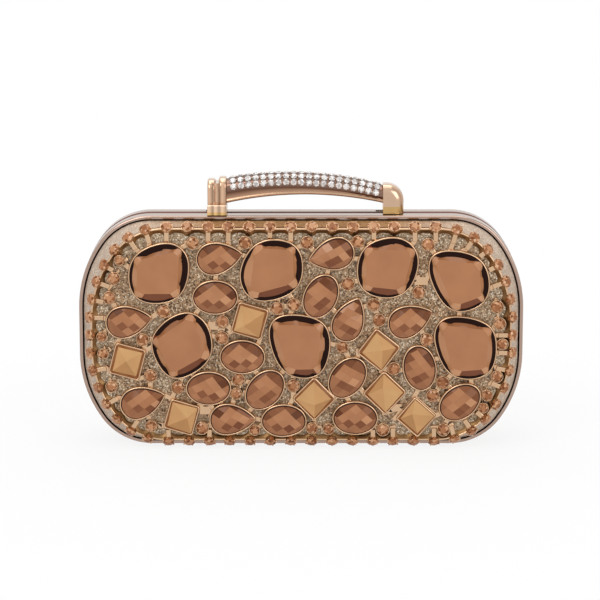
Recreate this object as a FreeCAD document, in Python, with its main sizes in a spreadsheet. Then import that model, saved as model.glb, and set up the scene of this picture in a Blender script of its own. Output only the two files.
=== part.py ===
import FreeCAD, Part
import math
import os
import re
import Sketcher
from FreeCAD import Placement, Rotation, Vector

# Jewelled box clutch: two hinged half-frames with covered shells, a jewelled front
# and a top handle that slides sideways to let the front half swing down.
# Frame: X to the right, Y to the back, Z up, origin under the seam at the bottom.

doc = FreeCAD.newDocument("minaudiere")
sheet = doc.addObject("Spreadsheet::Sheet", "Dims")

driving_sizes = [
    # Case outline and depth
    ("bag_width", 200, "frame outline, side to side"),
    ("bag_height", 105, "frame outline, bottom to top"),
    ("bag_depth", 46, "highest stone to the back cover"),
    ("side_straight", 21, "straight stretch of each side"),
    ("corner_width_share", 0.774, "corner reach along X, of its reach along Z"),
    ("corner_round_share", 0.86, "small corner radius, of the corner reach along X"),
    # Half-frames
    ("seam_gap", 0.2, "gap between the two half-frames"),
    ("frame_depth", 9.3, "depth of one half-frame from the seam plane"),
    ("frame_wall", 1.5, "outer wall of a half-frame"),
    ("flange_reach", 4.8, "seam flange, inwards from the outline"),
    ("flange_thick", 1.3, "seam flange thickness"),
    ("frame_round", 0.9, "rounding of the frame's outer edges"),
    # Shell, cover and lining of each half
    ("glue_gap", 0.1, "gap between glued skins"),
    ("cover_tuck", 1.4, "cover, shell and lining inside the frame's edge"),
    ("cover_gap", 0.8, "groove between the frame and the cover"),
    ("cover_thick", 0.5, "glitter cover"),
    ("shell_thick", 1.5, "moulded shell"),
    ("lining_thick", 0.6, "lining"),
    ("field_depth", 17.5, "front cover face from the seam plane"),
    ("rim_inset_x", 6.5, "edge of the front face, in from the frame at the sides"),
    ("rim_inset_z", 4.6, "edge of the front face, in from the frame above and below"),
    ("back_inset", 11, "edge of the flat back face, in from the cover's base"),
    ("back_shoulder_inset", 5.2, "second bend of the back cover"),
    ("back_wall_inset", 2, "first bend of the back cover"),
    ("back_wall_share", 0.78, "depth of the first bend, of the back depth"),
    ("back_shoulder_share", 0.94, "depth of the second bend, of the back depth"),
    # Hinge at the bottom seam
    ("hinge_rise", 1.6, "hinge axis above the bottom"),
    ("knuckle_radius", 1.5, "hinge knuckle"),
    ("knuckle_length", 8, "one knuckle along the axis"),
    ("knuckle_gap", 0.3, "clearance round and between knuckles"),
    ("hinge_spread", 45, "middle of each hinge from the middle of the bag"),
    ("hinge_relief", 2, "bevel along the bottom seam that lets the halves turn"),
    ("relief_side_share", 1.41421, "side of the bar that cuts the bevel, of the bevel"),
    ("pin_radius", 0.75, "hinge pin"),
    ("pin_clearance", 0.05, "hinge pin in its bore"),
    # Jewelled front
    ("web_thick", 1.5, "flat bars and plates of the openwork"),
    ("web_bar", 1.5, "width of an openwork bar"),
    ("link_share", 2.6, "longest bar between two settings, of its width"),
    ("spoke_share", 6, "longest bar out to the rail, of its width"),
    ("rail_set_in", 2.4, "outer edge of the rail, in from the rim"),
    ("rail_width", 2.8, "width of the rail"),
    ("bezel_height", 2, "bezel above the openwork"),
    ("bezel_wall", 0.6, "bezel wall"),
    ("stone_gap", 0.05, "stone in its bezel"),
    ("chaton_ring", 1.2, "height of a small stone's ring"),
    ("ring_wall", 0.35, "wall of a small stone's ring"),
    ("chaton_rise", 0.9, "small stone above its ring"),
    ("cup_height", 1.9, "cup of a border stone"),
    ("cup_radius", 2.7, "mouth of a border cup"),
    ("cup_wall", 0.3, "wall of a border cup"),
    ("cup_floor", 0.7, "floor of a border cup"),
    ("cup_taper", 0.4, "cup narrower at its foot, on the radius"),
    ("cup_step", 9.2, "spacing of the border cups along the top and bottom"),
    ("spoke_width", 1.2, "short bar across the rail at a border cup"),
    ("spoke_rise", 0.7, "short bar above the rail"),
    # Handle and slide lock
    ("handle_left", 42, "left face of the handle, from the middle of the bag"),
    ("handle_span", 88, "handle from end to end"),
    ("handle_rise", 0.3, "handle above the frame"),
    ("slide_travel", 3, "handle travel to the left"),
    ("slide_gap", 0.3, "clearance of the sliding pieces"),
    ("post_width", 8.7, "left post"),
    ("post_depth", 20, "left post, front to back"),
    ("post_base", 4.8, "plain foot of the left post"),
    ("rib_width", 3.6, "one rib of the left post"),
    ("rib_depth", 12.4, "ribs, front to back"),
    ("rib_top", 16.4, "right rib above the frame"),
    ("rib_step", 0.9, "left rib lower than the right one"),
    ("rib_dome_share", 0.38, "rounding over a rib from front to back, of its depth"),
    ("rib_round_share", 0.3, "rounding of a rib's sides, of its width"),
    ("panel_set_back", 1, "recessed panel behind the ribs"),
    ("panel_top", 14, "recessed panel above the frame"),
    ("elbow_width", 9.3, "right elbow"),
    ("elbow_depth", 12.4, "right elbow, front to back"),
    ("elbow_top", 13.4, "right elbow above the frame"),
    ("elbow_round", 7.5, "outer bend of the elbow"),
    ("elbow_edge", 4.2, "rounded front and back edges of the elbow"),
    ("bar_depth", 11, "handle bar, front to back"),
    ("bar_round", 4.2, "rounded top of the bar"),
    ("bar_edge", 1.3, "rounded lower edges of the bar"),
    ("bar_left_low", 5, "underside of the bar at the left end"),
    ("bar_middle_low", 8.8, "underside of the bar at its middle"),
    ("bar_right_low", 5, "underside of the bar at the right end"),
    ("bar_left_high", 15.4, "top of the bar at the left end"),
    ("bar_middle_high", 17.9, "top of the bar at its middle"),
    ("bar_right_high", 12.4, "top of the bar at the right end"),
    ("bar_middle_share", 0.45, "place of the bar's highest point along it"),
    ("pave_radius", 1.4, "small clear stone on the bar"),
    ("pave_height", 0.9, "small clear stone"),
    ("pave_step", 3.45, "spacing of the clear stones"),
    ("stem_length", 4, "handle stem along the bar"),
    ("stem_width", 3, "handle stem across the bar"),
    ("stem_back", 4.4, "middle of the stems behind the seam"),
    ("latch_drop", 1.8, "latch bar below the frame wall"),
    ("latch_thick", 3.4, "latch bar"),
    ("latch_width", 4.4, "latch bar, front to back"),
    ("screw_radius", 0.8, "handle screw"),
    ("screw_head", 1.5, "radius of the screw head"),
    ("screw_head_height", 1, "screw head"),
    ("catch_spread", 20, "each catch from the middle of the bag"),
    ("catch_thick", 0.5, "spring leaf of a catch"),
    ("catch_width", 2.2, "hook of a catch"),
    ("catch_pad", 5.2, "riveted end of a catch"),
    ("catch_hook", 2.2, "hook of a catch, downwards"),
    ("rivet_radius", 0.9, "catch rivet"),
    ("rivet_head", 1.6, "radius of the rivet head"),
    ("rivet_head_height", 0.7, "rivet head"),
    ("spring_leaf", 0.4, "return spring strip"),
    ("spring_free", 7, "return spring between the latch bar and its stop"),
    ("spring_drop", 2.6, "height of the return spring strip"),
]
for row, (alias, number, note) in enumerate(driving_sizes, 1):
    sheet.set("A%d" % row, note)
    sheet.set("B%d" % row, str(number))
    sheet.setAlias("B%d" % row, alias)
doc.recompute()


def dims(text):
    """An expression on the sheet, from plain aliases."""
    return re.sub(r"[a-z][a-z_]+", lambda word: "Dims." + word.group(0), text)


def size(text):
    """The value of an expression in the sheet's aliases."""
    return float(sheet.evalExpression(dims(text)))


def bind(item, prop, text):
    item.setExpression(prop, dims(text))


# Outline of the case: straight sides with corners of two tangent arcs

reach_z = "(bag_height - side_straight) / 2"
reach_x = "(" + reach_z + " * corner_width_share)"
small_round = "(" + reach_x + " * corner_round_share)"


def outline_numbers(inset_x, inset_z, corner_inset):
    """Corner centres and radii of one outline, from its lower left frame corner."""
    reach_up = size(reach_z) - corner_inset
    reach_side = size(reach_x) - corner_inset
    small = size(small_round) - corner_inset
    large = (reach_side ** 2 + reach_up ** 2 - 2 * reach_up * small) / (2 * (reach_side - small))
    join = math.atan2(reach_up - small, large - reach_side)
    return inset_x, inset_z, reach_side, reach_up, small, large, join


def outline_edges(inset_x, inset_z, corner_inset):
    """Lines and arcs of one outline, counter-clockwise from the bottom line."""
    left, low, reach_side, reach_up, small, large, join = outline_numbers(inset_x, inset_z, corner_inset)
    right = size("bag_width") - left
    high = size("bag_height") - low
    axis = Vector(0, 0, 1)
    quarter = math.pi / 2

    def arc(centre_x, centre_z, radius, start, end):
        return Part.ArcOfCircle(Part.Circle(Vector(centre_x, centre_z, 0), axis, radius), start, end)

    def line(x0, z0, x1, z1):
        return Part.LineSegment(Vector(x0, z0, 0), Vector(x1, z1, 0))

    inner_right = right - reach_side
    inner_left = left + reach_side
    return [
        line(inner_left, low, inner_right, low),
        arc(inner_right, low + small, small, -quarter, -join),
        arc(right - large, low + reach_up, large, -join, 0),
        line(right, low + reach_up, right, high - reach_up),
        arc(right - large, high - reach_up, large, 0, join),
        arc(inner_right, high - small, small, join, quarter),
        line(inner_right, high, inner_left, high),
        arc(inner_left, high - small, small, quarter, math.pi - join),
        arc(left + large, high - reach_up, large, math.pi - join, math.pi),
        line(left, high - reach_up, left, low + reach_up),
        arc(left + large, low + reach_up, large, math.pi, math.pi + join),
        arc(inner_left, low + small, small, math.pi + join, 3 * quarter),
    ]


def attach(sketch, body, role, offset):
    """Put a sketch on its body's own plane, moved by three expressions."""
    plane = [f for f in body.Origin.OriginFeatures if f.Role == role][0]
    sketch.AttachmentSupport = [(plane, "")]
    sketch.MapMode = "FlatFace"
    for axis, text in zip("xyz", offset):
        bind(sketch, "AttachmentOffset.Base." + axis, text)


def add_outline(sketch, inset_x, inset_z, corner_inset):
    """Draw one outline and tie it to the sheet."""
    edges = outline_edges(size(inset_x), size(inset_z), size(corner_inset))
    first = sketch.GeometryCount
    sketch.addGeometry(edges, False)
    count = len(edges)
    for i in range(count):
        sketch.addConstraint(Sketcher.Constraint("Tangent", first + i, 2, first + (i + 1) % count, 1))
    radius = "%s - (%s)" % (small_round, corner_inset)
    side = "%s + %s - (%s)" % (inset_x, reach_x, corner_inset)
    rise_small = "%s + %s" % (inset_z, radius)
    rise_large = "%s + %s - (%s)" % (inset_z, reach_z, corner_inset)

    def measure(kind, geometry, point, text):
        index = sketch.addConstraint(Sketcher.Constraint(kind, -1, 1, geometry, point, size(text)))
        sketch.setExpression("Constraints[%d]" % index, dims(text))

    for arc, right, high in ((1, True, False), (5, True, True), (7, False, True), (11, False, False)):
        index = sketch.addConstraint(Sketcher.Constraint("Radius", first + arc, size(radius)))
        sketch.setExpression("Constraints[%d]" % index, dims(radius))
        measure("DistanceX", first + arc, 3, "bag_width - (%s)" % side if right else side)
        measure("DistanceY", first + arc, 3, "bag_height - (%s)" % rise_small if high else rise_small)
    for arc, high in ((2, False), (4, True), (8, True), (10, False)):
        measure("DistanceY", first + arc, 3, "bag_height - (%s)" % rise_large if high else rise_large)
    for straight, right in ((3, True), (9, False)):
        sketch.addConstraint(Sketcher.Constraint("Vertical", first + straight))
        measure("DistanceX", first + straight, 1, "bag_width - (%s)" % inset_x if right else inset_x)


def outline_sketch(body, name, forward, depth, outlines):
    """Outlines on a plane parallel to the seam; forward is 1 for the front half, -1 for the back."""
    sketch = body.newObject("Sketcher::SketchObject", name)
    attach(sketch, body, "XZ_Plane", ("-bag_width / 2", "0", "%d * (%s)" % (forward, depth)))
    for inset_x, inset_z, corner_inset in outlines:
        add_outline(sketch, inset_x, inset_z, corner_inset)
    return sketch


def make_body(name):
    body = doc.addObject("PartDesign::Body", name)
    body.Label = name
    return body


def pad(body, name, sketch, length, reverse=False, middle=False):
    feature = body.newObject("PartDesign::Pad", name)
    feature.Profile = sketch
    bind(feature, "Length", length)
    feature.Reversed = reverse
    feature.Midplane = middle
    doc.recompute()
    return feature


def fillet(body, name, base, radius, chosen):
    """Round the edges of the last feature that the test picks."""
    names = ["Edge%d" % (i + 1) for i, edge in enumerate(base.Shape.Edges) if chosen(edge)]
    feature = body.newObject("PartDesign::Fillet", name)
    feature.Base = (base, names)
    bind(feature, "Radius", radius)
    doc.recompute()
    return feature


def even(inset):
    return (inset, inset, inset)


def at_depth(edge, depth):
    return all(abs(vertex.Point.y - depth) < size("glue_gap") for vertex in edge.Vertexes)


def edge_middle(edge):
    return edge.valueAt((edge.FirstParameter + edge.LastParameter) / 2)


# Half-frames: a wall with a flange along the seam, rounded outside

seam_face = "seam_gap / 2"


def half_frame(name, forward):
    body = make_body(name + "_band")
    wall = outline_sketch(body, name + "_wall_outline", forward, seam_face,
                          [even("0 * frame_wall"), even("frame_wall")])
    pad(body, name + "_wall", wall, "frame_depth - " + seam_face, reverse=forward < 0)
    flange = outline_sketch(body, name + "_flange_outline", forward, seam_face,
                            [even("0 * frame_wall"), even("flange_reach")])
    ring = pad(body, name + "_flange", flange, "flange_thick", reverse=forward < 0)
    edges = outline_edges(*[size("frame_wall / 2")] * 3)
    inside = Part.Face(Part.Wire([edge.toShape() for edge in edges]))
    shift = Vector(size("bag_width / 2"), 0, 0)

    def outer(edge):
        middle = edge_middle(edge) + shift
        return not inside.isInside(Vector(middle.x, middle.z, 0), size("glue_gap") / 2, True)

    outer_depth = -forward * size("frame_depth")
    seam_depth = -forward * size(seam_face)
    rounded = fillet(body, name + "_outer_round", ring, "frame_round",
                     lambda edge: at_depth(edge, outer_depth) and outer(edge))
    fillet(body, name + "_seam_round", rounded, "frame_round / 3",
           lambda edge: at_depth(edge, seam_depth) and outer(edge))
    return body


def box(name, x0, y0, z0, length, width, height):
    item = doc.addObject("Part::Box", name)
    for prop, text in (("Length", length), ("Width", width), ("Height", height),
                       ("Placement.Base.x", x0), ("Placement.Base.y", y0), ("Placement.Base.z", z0)):
        bind(item, prop, text)
    return item


def rod(name, radius, length, x0, y0, z0, along):
    """A cylinder along X or Z from a start point."""
    item = doc.addObject("Part::Cylinder", name)
    if along == "x":
        item.Placement = Placement(Vector(), Rotation(Vector(0, 1, 0), 90))
    for prop, text in (("Radius", radius), ("Height", length), ("Placement.Base.x", x0),
                       ("Placement.Base.y", y0), ("Placement.Base.z", z0)):
        bind(item, prop, text)
    return item


def joined(name, items):
    item = doc.addObject("Part::MultiFuse", name)
    item.Shapes = items
    return item


def cut(name, base, tool):
    item = doc.addObject("Part::Cut", name)
    item.Base = base
    item.Tool = tool
    return item


# Hinge: two groups of five interleaved knuckles; the outer, middle and outer ones are the back's

knuckle_count = 5
knuckle_pitch = "(knuckle_length + knuckle_gap)"
hinge_sides = (("left", "-hinge_spread"), ("right", "hinge_spread"))


def knuckle_start(middle, index):
    return "%s + (%s) * %s - knuckle_length / 2" % (middle, index - (knuckle_count - 1) / 2, knuckle_pitch)


def hinge_tools(name, own_parity):
    """Knuckles of one half, the recesses for the other half's knuckles, and the pin bores."""
    knuckles, recesses, bores = [], [], []
    for side, middle in hinge_sides:
        for index in range(knuckle_count):
            start = knuckle_start(middle, index)
            label = "%s_%s_%d" % (name, side, index + 1)
            if index % 2 == own_parity:
                knuckles.append(rod(label + "_knuckle", "knuckle_radius", "knuckle_length",
                                    start, "0 * hinge_rise", "hinge_rise", "x"))
            else:
                recesses.append(rod(label + "_recess", "knuckle_radius + knuckle_gap",
                                    "knuckle_length + 2 * knuckle_gap", start + " - knuckle_gap",
                                    "0 * hinge_rise", "hinge_rise", "x"))
        bores.append(rod("%s_%s_bore" % (name, side), "pin_radius + pin_clearance",
                         "(%d + 1) * %s" % (knuckle_count, knuckle_pitch),
                         knuckle_start(middle, 0) + " - knuckle_length / 2",
                         "0 * hinge_rise", "hinge_rise", "x"))
    return knuckles, recesses, bores


def relief_bevel(name):
    """Square bar on edge along the bottom seam that takes the corner off both halves."""
    item = doc.addObject("Part::Box", name)
    item.Placement = Placement(Vector(), Rotation(Vector(1, 0, 0), 45))
    for prop, text in (("Length", "bag_width"), ("Width", "hinge_relief * relief_side_share"),
                       ("Height", "hinge_relief * relief_side_share"), ("Placement.Base.x", "-bag_width / 2"),
                       ("Placement.Base.z", "-hinge_relief")):
        bind(item, prop, text)
    return item


def hinged_frame(name, forward, own_parity, openings, additions):
    """A half-frame with its share of the hinge and its openings."""
    knuckles, recesses, bores = hinge_tools(name, own_parity)
    opened = cut(name + "_opened", half_frame(name, forward),
                 joined(name + "_openings", recesses + openings + [relief_bevel(name + "_relief")]))
    knuckled = joined(name + "_knuckled", [opened] + knuckles + additions)
    frame = cut(name, knuckled, joined(name + "_bores", bores))
    frame.Label = name
    return frame


# Places of the slide lock, from the frame's top wall

wall_under = "bag_height - frame_wall"
latch_top = "bag_height - frame_wall - latch_drop"
latch_front = "stem_back - latch_width / 2"
latch_back = "stem_back + latch_width / 2"
post_stem_start = "post_width / 2 - stem_length / 2 - handle_left"
elbow_stem_start = "handle_span - elbow_width + slide_gap - handle_left"
stem_starts = (("left", post_stem_start), ("right", elbow_stem_start))
latch_left = post_stem_start + " - stem_length"
latch_right = elbow_stem_start + " + 2 * stem_length"
catch_places = (("left", "-catch_spread"), ("right", "catch_spread"))
spring_stop_start = latch_left + " - spring_free - frame_wall"


def stem_slots():
    slots = []
    for side, start in stem_starts:
        slots.append(box("stem_slot_" + side, start + " - slide_travel - slide_gap",
                         "stem_back - stem_width / 2 - slide_gap", wall_under + " - slide_gap",
                         "stem_length + slide_travel + 2 * slide_gap", "stem_width + 2 * slide_gap",
                         "frame_wall + 2 * slide_gap"))
    return slots


def catch_windows(name, forward):
    """Windows in a seam flange for the catch leaves."""
    windows = []
    depth = "0 * seam_gap" if forward < 0 else "-2 * flange_thick"
    for side, middle in catch_places:
        windows.append(box("%s_window_%s" % (name, side), middle + " - catch_width / 2 - 2 * slide_gap", depth,
                           wall_under + " - catch_thick * 2 - 3 * slide_gap", "catch_width + 4 * slide_gap",
                           "2 * flange_thick", "catch_thick * 2 + 3 * slide_gap"))
    return windows


def spring_stop():
    return box("spring_stop", spring_stop_start, latch_front, latch_top + " - latch_thick",
               "frame_wall", "latch_width", "latch_drop + latch_thick + frame_wall / 2")


hinged_frame("back_frame", -1, 0, stem_slots() + catch_windows("back_frame", -1), [spring_stop()])
hinged_frame("front_frame", 1, 1, catch_windows("front_frame", 1), [])

pins = []
for side, middle in hinge_sides:
    pin = rod("hinge_pin_" + side, "pin_radius", "%d * %s - knuckle_gap" % (knuckle_count, knuckle_pitch),
              knuckle_start(middle, 0), "0 * hinge_rise", "hinge_rise", "x")
    pin.Label = "hinge_pin_" + side
    pins.append(pin.Label)

# Shells, covers and linings: lofted dishes, one inside the other

seat = "frame_depth - cover_tuck"
cover_base = "frame_wall + cover_gap"


def front_sections(skin):
    """Sections of a dish that lies a given thickness inside the front cover's outer face."""
    base = "%s + %s" % (cover_base, skin)
    return [(seat, even(base)), ("frame_depth", even(base)),
            ("field_depth - (%s)" % skin, ("rim_inset_x + " + skin, "rim_inset_z + " + skin, skin))]


def back_sections(skin):
    """The same for the back, with two bends towards the flat back face."""
    base = "%s + %s" % (cover_base, skin)
    depth = "(bag_depth / 2 - (%s))" % skin
    return [(seat, even(base)), ("frame_depth", even(base)),
            (depth + " * back_wall_share", even(base + " + back_wall_inset")),
            (depth + " * back_shoulder_share", even(base + " + back_shoulder_inset")),
            (depth, even(base + " + back_inset"))]


def loft(body, name, kind, forward, sections):
    sketches = [outline_sketch(body, "%s_%d" % (name, i), forward, depth, [insets])
                for i, (depth, insets) in enumerate(sections)]
    feature = body.newObject("PartDesign::" + kind, name)
    feature.Profile = sketches[0]
    feature.Sections = sketches[1:]
    feature.Ruled = True
    doc.recompute()
    return feature


def dish(name, forward, sections, outer_skin, thickness):
    body = make_body(name)
    loft(body, name + "_outside", "AdditiveLoft", forward, sections(outer_skin))
    loft(body, name + "_inside", "SubtractiveLoft", forward, sections("%s + %s" % (outer_skin, thickness)))


dish_nodes = []
for half, forward, sections in (("front", 1, front_sections), ("back", -1, back_sections)):
    skin = "0 * glue_gap"
    for layer in ("cover", "shell", "lining"):
        dish(half + "_" + layer, forward, sections, skin, layer + "_thick")
        dish_nodes.append(half + "_" + layer)
        skin += " + %s_thick + glue_gap" % layer

# Handle: ribbed left post, arched bar and right elbow, all above the frame's top


def handle_sketch(body, name, places):
    """Closed polygon in the handle's front view, from pairs of expressions."""
    sketch = body.newObject("Sketcher::SketchObject", name)
    attach(sketch, body, "XZ_Plane", ("-handle_left", "bag_height", "0 * handle_rise"))
    corners = [Vector(size(x), size(z), 0) for x, z in places]
    count = len(corners)
    for i in range(count):
        sketch.addGeometry(Part.LineSegment(corners[i], corners[(i + 1) % count]), False)
    for i in range(count):
        sketch.addConstraint(Sketcher.Constraint("Coincident", i, 2, (i + 1) % count, 1))
    for i, place in enumerate(places):
        for kind, text in zip(("DistanceX", "DistanceY"), place):
            index = sketch.addConstraint(Sketcher.Constraint(kind, -1, 1, i, 1, size(text)))
            sketch.setExpression("Constraints[%d]" % index, dims(text))
    return sketch


def rectangle(x0, z0, x1, z1):
    return [(x0, z0), (x1, z0), (x1, z1), (x0, z1)]


def add_stem(body, name, start):
    """Stem through the frame's top wall to the latch bar, bored for its screw."""
    sketch = body.newObject("Sketcher::SketchObject", name + "_outline")
    attach(sketch, body, "XY_Plane", (start, "stem_back - stem_width / 2", "bag_height + handle_rise"))
    length, width = size("stem_length"), size("stem_width")
    corners = [(0, 0), (length, 0), (length, width), (0, width)]
    for i in range(4):
        x0, y0 = corners[i]
        x1, y1 = corners[(i + 1) % 4]
        sketch.addGeometry(Part.LineSegment(Vector(x0, y0, 0), Vector(x1, y1, 0)), False)
    for i in range(4):
        sketch.addConstraint(Sketcher.Constraint("Coincident", i, 2, (i + 1) % 4, 1))
    sketch.addConstraint(Sketcher.Constraint("Coincident", 0, 1, -1, 1))
    for line in (0, 2):
        sketch.addConstraint(Sketcher.Constraint("Horizontal", line))
    for line in (1, 3):
        sketch.addConstraint(Sketcher.Constraint("Vertical", line))
    for line, text in ((0, "stem_length"), (1, "stem_width")):
        index = sketch.addConstraint(Sketcher.Constraint("Distance", line, size(text)))
        sketch.setExpression("Constraints[%d]" % index, dims(text))
    return pad(body, name, sketch, "handle_rise + frame_wall + latch_drop", reverse=True)


def bored(name, body, start):
    """The finished piece: its screw hole runs up the stem."""
    bore = rod(name + "_screw_hole", "screw_radius + pin_clearance", "handle_rise + frame_wall + latch_drop",
               start + " + stem_length / 2", "stem_back", latch_top, "z")
    piece = cut(name, body, bore)
    piece.Label = name
    return piece


post = make_body("handle_left_post_casting")
foot = handle_sketch(post, "post_foot", rectangle("0 * post_width", "handle_rise", "post_width", "post_base"))
foot_pad = pad(post, "post_foot_block", foot, "post_depth", middle=True)
foot_edges = fillet(post, "post_foot_round", foot_pad, "post_base / 6",
                    lambda edge: edge.BoundBox.ZMin > size("bag_height + post_base - glue_gap"))
rib_left = handle_sketch(post, "rib_left", rectangle("0 * post_width", "post_base / 2",
                                                    "rib_width", "rib_top - rib_step"))
pad(post, "rib_left_pad", rib_left, "rib_depth", middle=True)
rib_right = handle_sketch(post, "rib_right", rectangle("post_width - rib_width", "post_base / 2",
                                                      "post_width", "rib_top"))
ribs = pad(post, "rib_right_pad", rib_right, "rib_depth", middle=True)


def at_rib_top(edge):
    tops = (size("bag_height + rib_top"), size("bag_height + rib_top - rib_step"))
    flat = edge.BoundBox.ZLength < size("glue_gap")
    return flat and any(abs(edge.BoundBox.ZMax - top) < size("glue_gap") for top in tops)


def rib_side_edge(edge):
    """Edges that run over a rib's top from front to back."""
    bounds = edge.BoundBox
    lengthwise = bounds.XLength < size("glue_gap") and bounds.YLength > size("glue_gap")
    return lengthwise and bounds.ZMax > size("bag_height + rib_top / 2")


domed_ribs = fillet(post, "rib_dome", ribs, "rib_depth * rib_dome_share",
                    lambda edge: at_rib_top(edge) and edge.BoundBox.XLength > size("rib_width / 2"))
fillet(post, "rib_round", domed_ribs, "rib_width * rib_round_share", rib_side_edge)
panel = handle_sketch(post, "rib_panel", rectangle("rib_width / 2", "post_base / 2",
                                                   "post_width - rib_width / 2", "panel_top"))
pad(post, "rib_panel_pad", panel, "rib_depth - 2 * panel_set_back", middle=True)
add_stem(post, "post_stem", post_stem_start)
bored("handle_left_post", post, post_stem_start)

elbow = make_body("handle_right_elbow_casting")
elbow_left = "handle_span - elbow_width"
elbow_block = handle_sketch(elbow, "elbow_block",
                            rectangle(elbow_left, "handle_rise", "handle_span", "elbow_top"))
block = pad(elbow, "elbow_pad", elbow_block, "elbow_depth", middle=True)


def elbow_bend_edge(edge):
    middle = edge_middle(edge)
    far = size("handle_span - handle_left - glue_gap")
    return middle.x > far and middle.z > size("bag_height + elbow_top - glue_gap")


bend = fillet(elbow, "elbow_bend", block, "elbow_round", elbow_bend_edge)


def elbow_rim_edge(edge):
    """Front and back edges over the top and down the outer side."""
    bounds = edge.BoundBox
    front_or_back = bounds.YLength < size("glue_gap") and abs(bounds.YMin) > size("elbow_depth / 2 - glue_gap")
    middle = edge_middle(edge)
    high = middle.z > size("bag_height + elbow_top - glue_gap")
    beyond_bend = middle.x > size("handle_span - handle_left - elbow_round + glue_gap")
    above_foot = middle.z > size("bag_height + handle_rise + glue_gap")
    return front_or_back and (high or (beyond_bend and above_foot))


fillet(elbow, "elbow_rim", bend, "elbow_edge", elbow_rim_edge)
add_stem(elbow, "elbow_stem", elbow_stem_start)
bored("handle_right_elbow", elbow, elbow_stem_start)

bar = make_body("handle_bar")
bar_sketch = bar.newObject("Sketcher::SketchObject", "bar_outline")
attach(bar_sketch, bar, "XZ_Plane", ("-handle_left", "bag_height", "0 * handle_rise"))
bar_start = "post_width"
bar_end = "handle_span - elbow_width"
bar_peak = "post_width + bar_middle_share * (handle_span - elbow_width - post_width)"
bar_places = {
    "low_left": (bar_start, "bar_left_low"), "low_right": (bar_end, "bar_right_low"),
    "high_right": (bar_end, "bar_right_high"), "high_left": (bar_start, "bar_left_high"),
    "low_peak": (bar_peak, "bar_middle_low"), "high_peak": (bar_peak, "bar_middle_high"),
}
bar_points = {name: Vector(size(x), size(z), 0) for name, (x, z) in bar_places.items()}
bar_sketch.addGeometry([
    Part.Arc(bar_points["low_left"], bar_points["low_peak"], bar_points["low_right"]),
    Part.LineSegment(bar_points["low_right"], bar_points["high_right"]),
    Part.Arc(bar_points["high_right"], bar_points["high_peak"], bar_points["high_left"]),
    Part.LineSegment(bar_points["high_left"], bar_points["low_left"]),
], False)
bar_sketch.addGeometry([Part.Point(bar_points["low_peak"]), Part.Point(bar_points["high_peak"])], True)


def arc_ends(index):
    """Point numbers of an arc's ends, left one first."""
    left_first = bar_sketch.getPoint(index, 1).x < bar_sketch.getPoint(index, 2).x
    return (1, 2) if left_first else (2, 1)


low_left_end, low_right_end = arc_ends(0)
high_left_end, high_right_end = arc_ends(2)
bar_sketch.addConstraint([
    Sketcher.Constraint("Coincident", 0, low_right_end, 1, 1),
    Sketcher.Constraint("Coincident", 1, 2, 2, high_right_end),
    Sketcher.Constraint("Coincident", 2, high_left_end, 3, 1),
    Sketcher.Constraint("Coincident", 3, 2, 0, low_left_end),
    Sketcher.Constraint("PointOnObject", 4, 1, 0),
    Sketcher.Constraint("PointOnObject", 5, 1, 2),
])
for geometry, point, place in ((1, 1, "low_right"), (1, 2, "high_right"), (3, 1, "high_left"),
                               (3, 2, "low_left"), (4, 1, "low_peak"), (5, 1, "high_peak")):
    for kind, text in zip(("DistanceX", "DistanceY"), bar_places[place]):
        index = bar_sketch.addConstraint(Sketcher.Constraint(kind, -1, 1, geometry, point, size(text)))
        bar_sketch.setExpression("Constraints[%d]" % index, dims(text))
bar_pad = pad(bar, "bar_pad", bar_sketch, "bar_depth", middle=True)


def bar_long_edge(edge, height):
    """Front and back edges of the bar whose middle is near a height above the frame."""
    middle = edge_middle(edge)
    at_face = abs(middle.y) > size("bar_depth / 2 - glue_gap")
    near = abs(middle.z - size("bag_height + " + height)) < size("bar_edge / 2")
    return edge.BoundBox.XLength > size("handle_span / 2") and at_face and near


bar_top = fillet(bar, "bar_top_round", bar_pad, "bar_round",
                 lambda edge: bar_long_edge(edge, "bar_middle_high"))
fillet(bar, "bar_low_round", bar_top, "bar_edge", lambda edge: bar_long_edge(edge, "bar_middle_low"))

# Latch bar under the frame wall, with a gap beside each tooth, and its two screws

latch_gaps = []
for side, middle in catch_places:
    latch_gaps.append(box("latch_gap_" + side, middle + " + catch_width / 2 + slide_gap / 2",
                          latch_front + " - slide_gap", latch_top + " - catch_hook - slide_gap",
                          "catch_width + slide_gap * 3", "latch_width + 2 * slide_gap",
                          "catch_hook + 2 * slide_gap"))
latch_holes = [rod("latch_hole_" + side, "screw_radius + pin_clearance", "latch_thick + 2 * slide_gap",
                   start + " + stem_length / 2", "stem_back", latch_top + " - latch_thick - slide_gap", "z")
               for side, start in stem_starts]
latch_spine = box("latch_spine", latch_left, latch_front, latch_top + " - latch_thick",
                  "(%s) - (%s)" % (latch_right, latch_left), "latch_width", "latch_thick")
latch = cut("latch_bar", latch_spine, joined("latch_openings", latch_gaps + latch_holes))
latch.Label = "latch_bar"

screws = []
for side, start in stem_starts:
    middle = start + " + stem_length / 2"
    shank = rod("screw_shank_" + side, "screw_radius", "latch_thick + latch_drop + frame_wall", middle,
                "stem_back", latch_top + " - latch_thick", "z")
    head = rod("screw_head_" + side, "screw_head", "screw_head_height", middle, "stem_back",
               latch_top + " - latch_thick - screw_head_height", "z")
    screws.append(joined("screw_" + side, [shank, head]))
latch_screws = doc.addObject("Part::Compound", "latch_screws")
latch_screws.Links = screws
latch_screws.Label = "latch_screws"

# The remaining pieces come from formulas and from the layout of the stones


def prism_along(points, axis, start, length):
    """A prism over a polygon given in the two other axes, along X or Y."""
    if axis == "x":
        corners = [Vector(start, y, z) for y, z in points]
        way = Vector(length, 0, 0)
    else:
        corners = [Vector(x, start, z) for x, z in points]
        way = Vector(0, length, 0)
    return Part.Face(Part.makePolygon(corners + corners[:1])).extrude(way)


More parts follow.
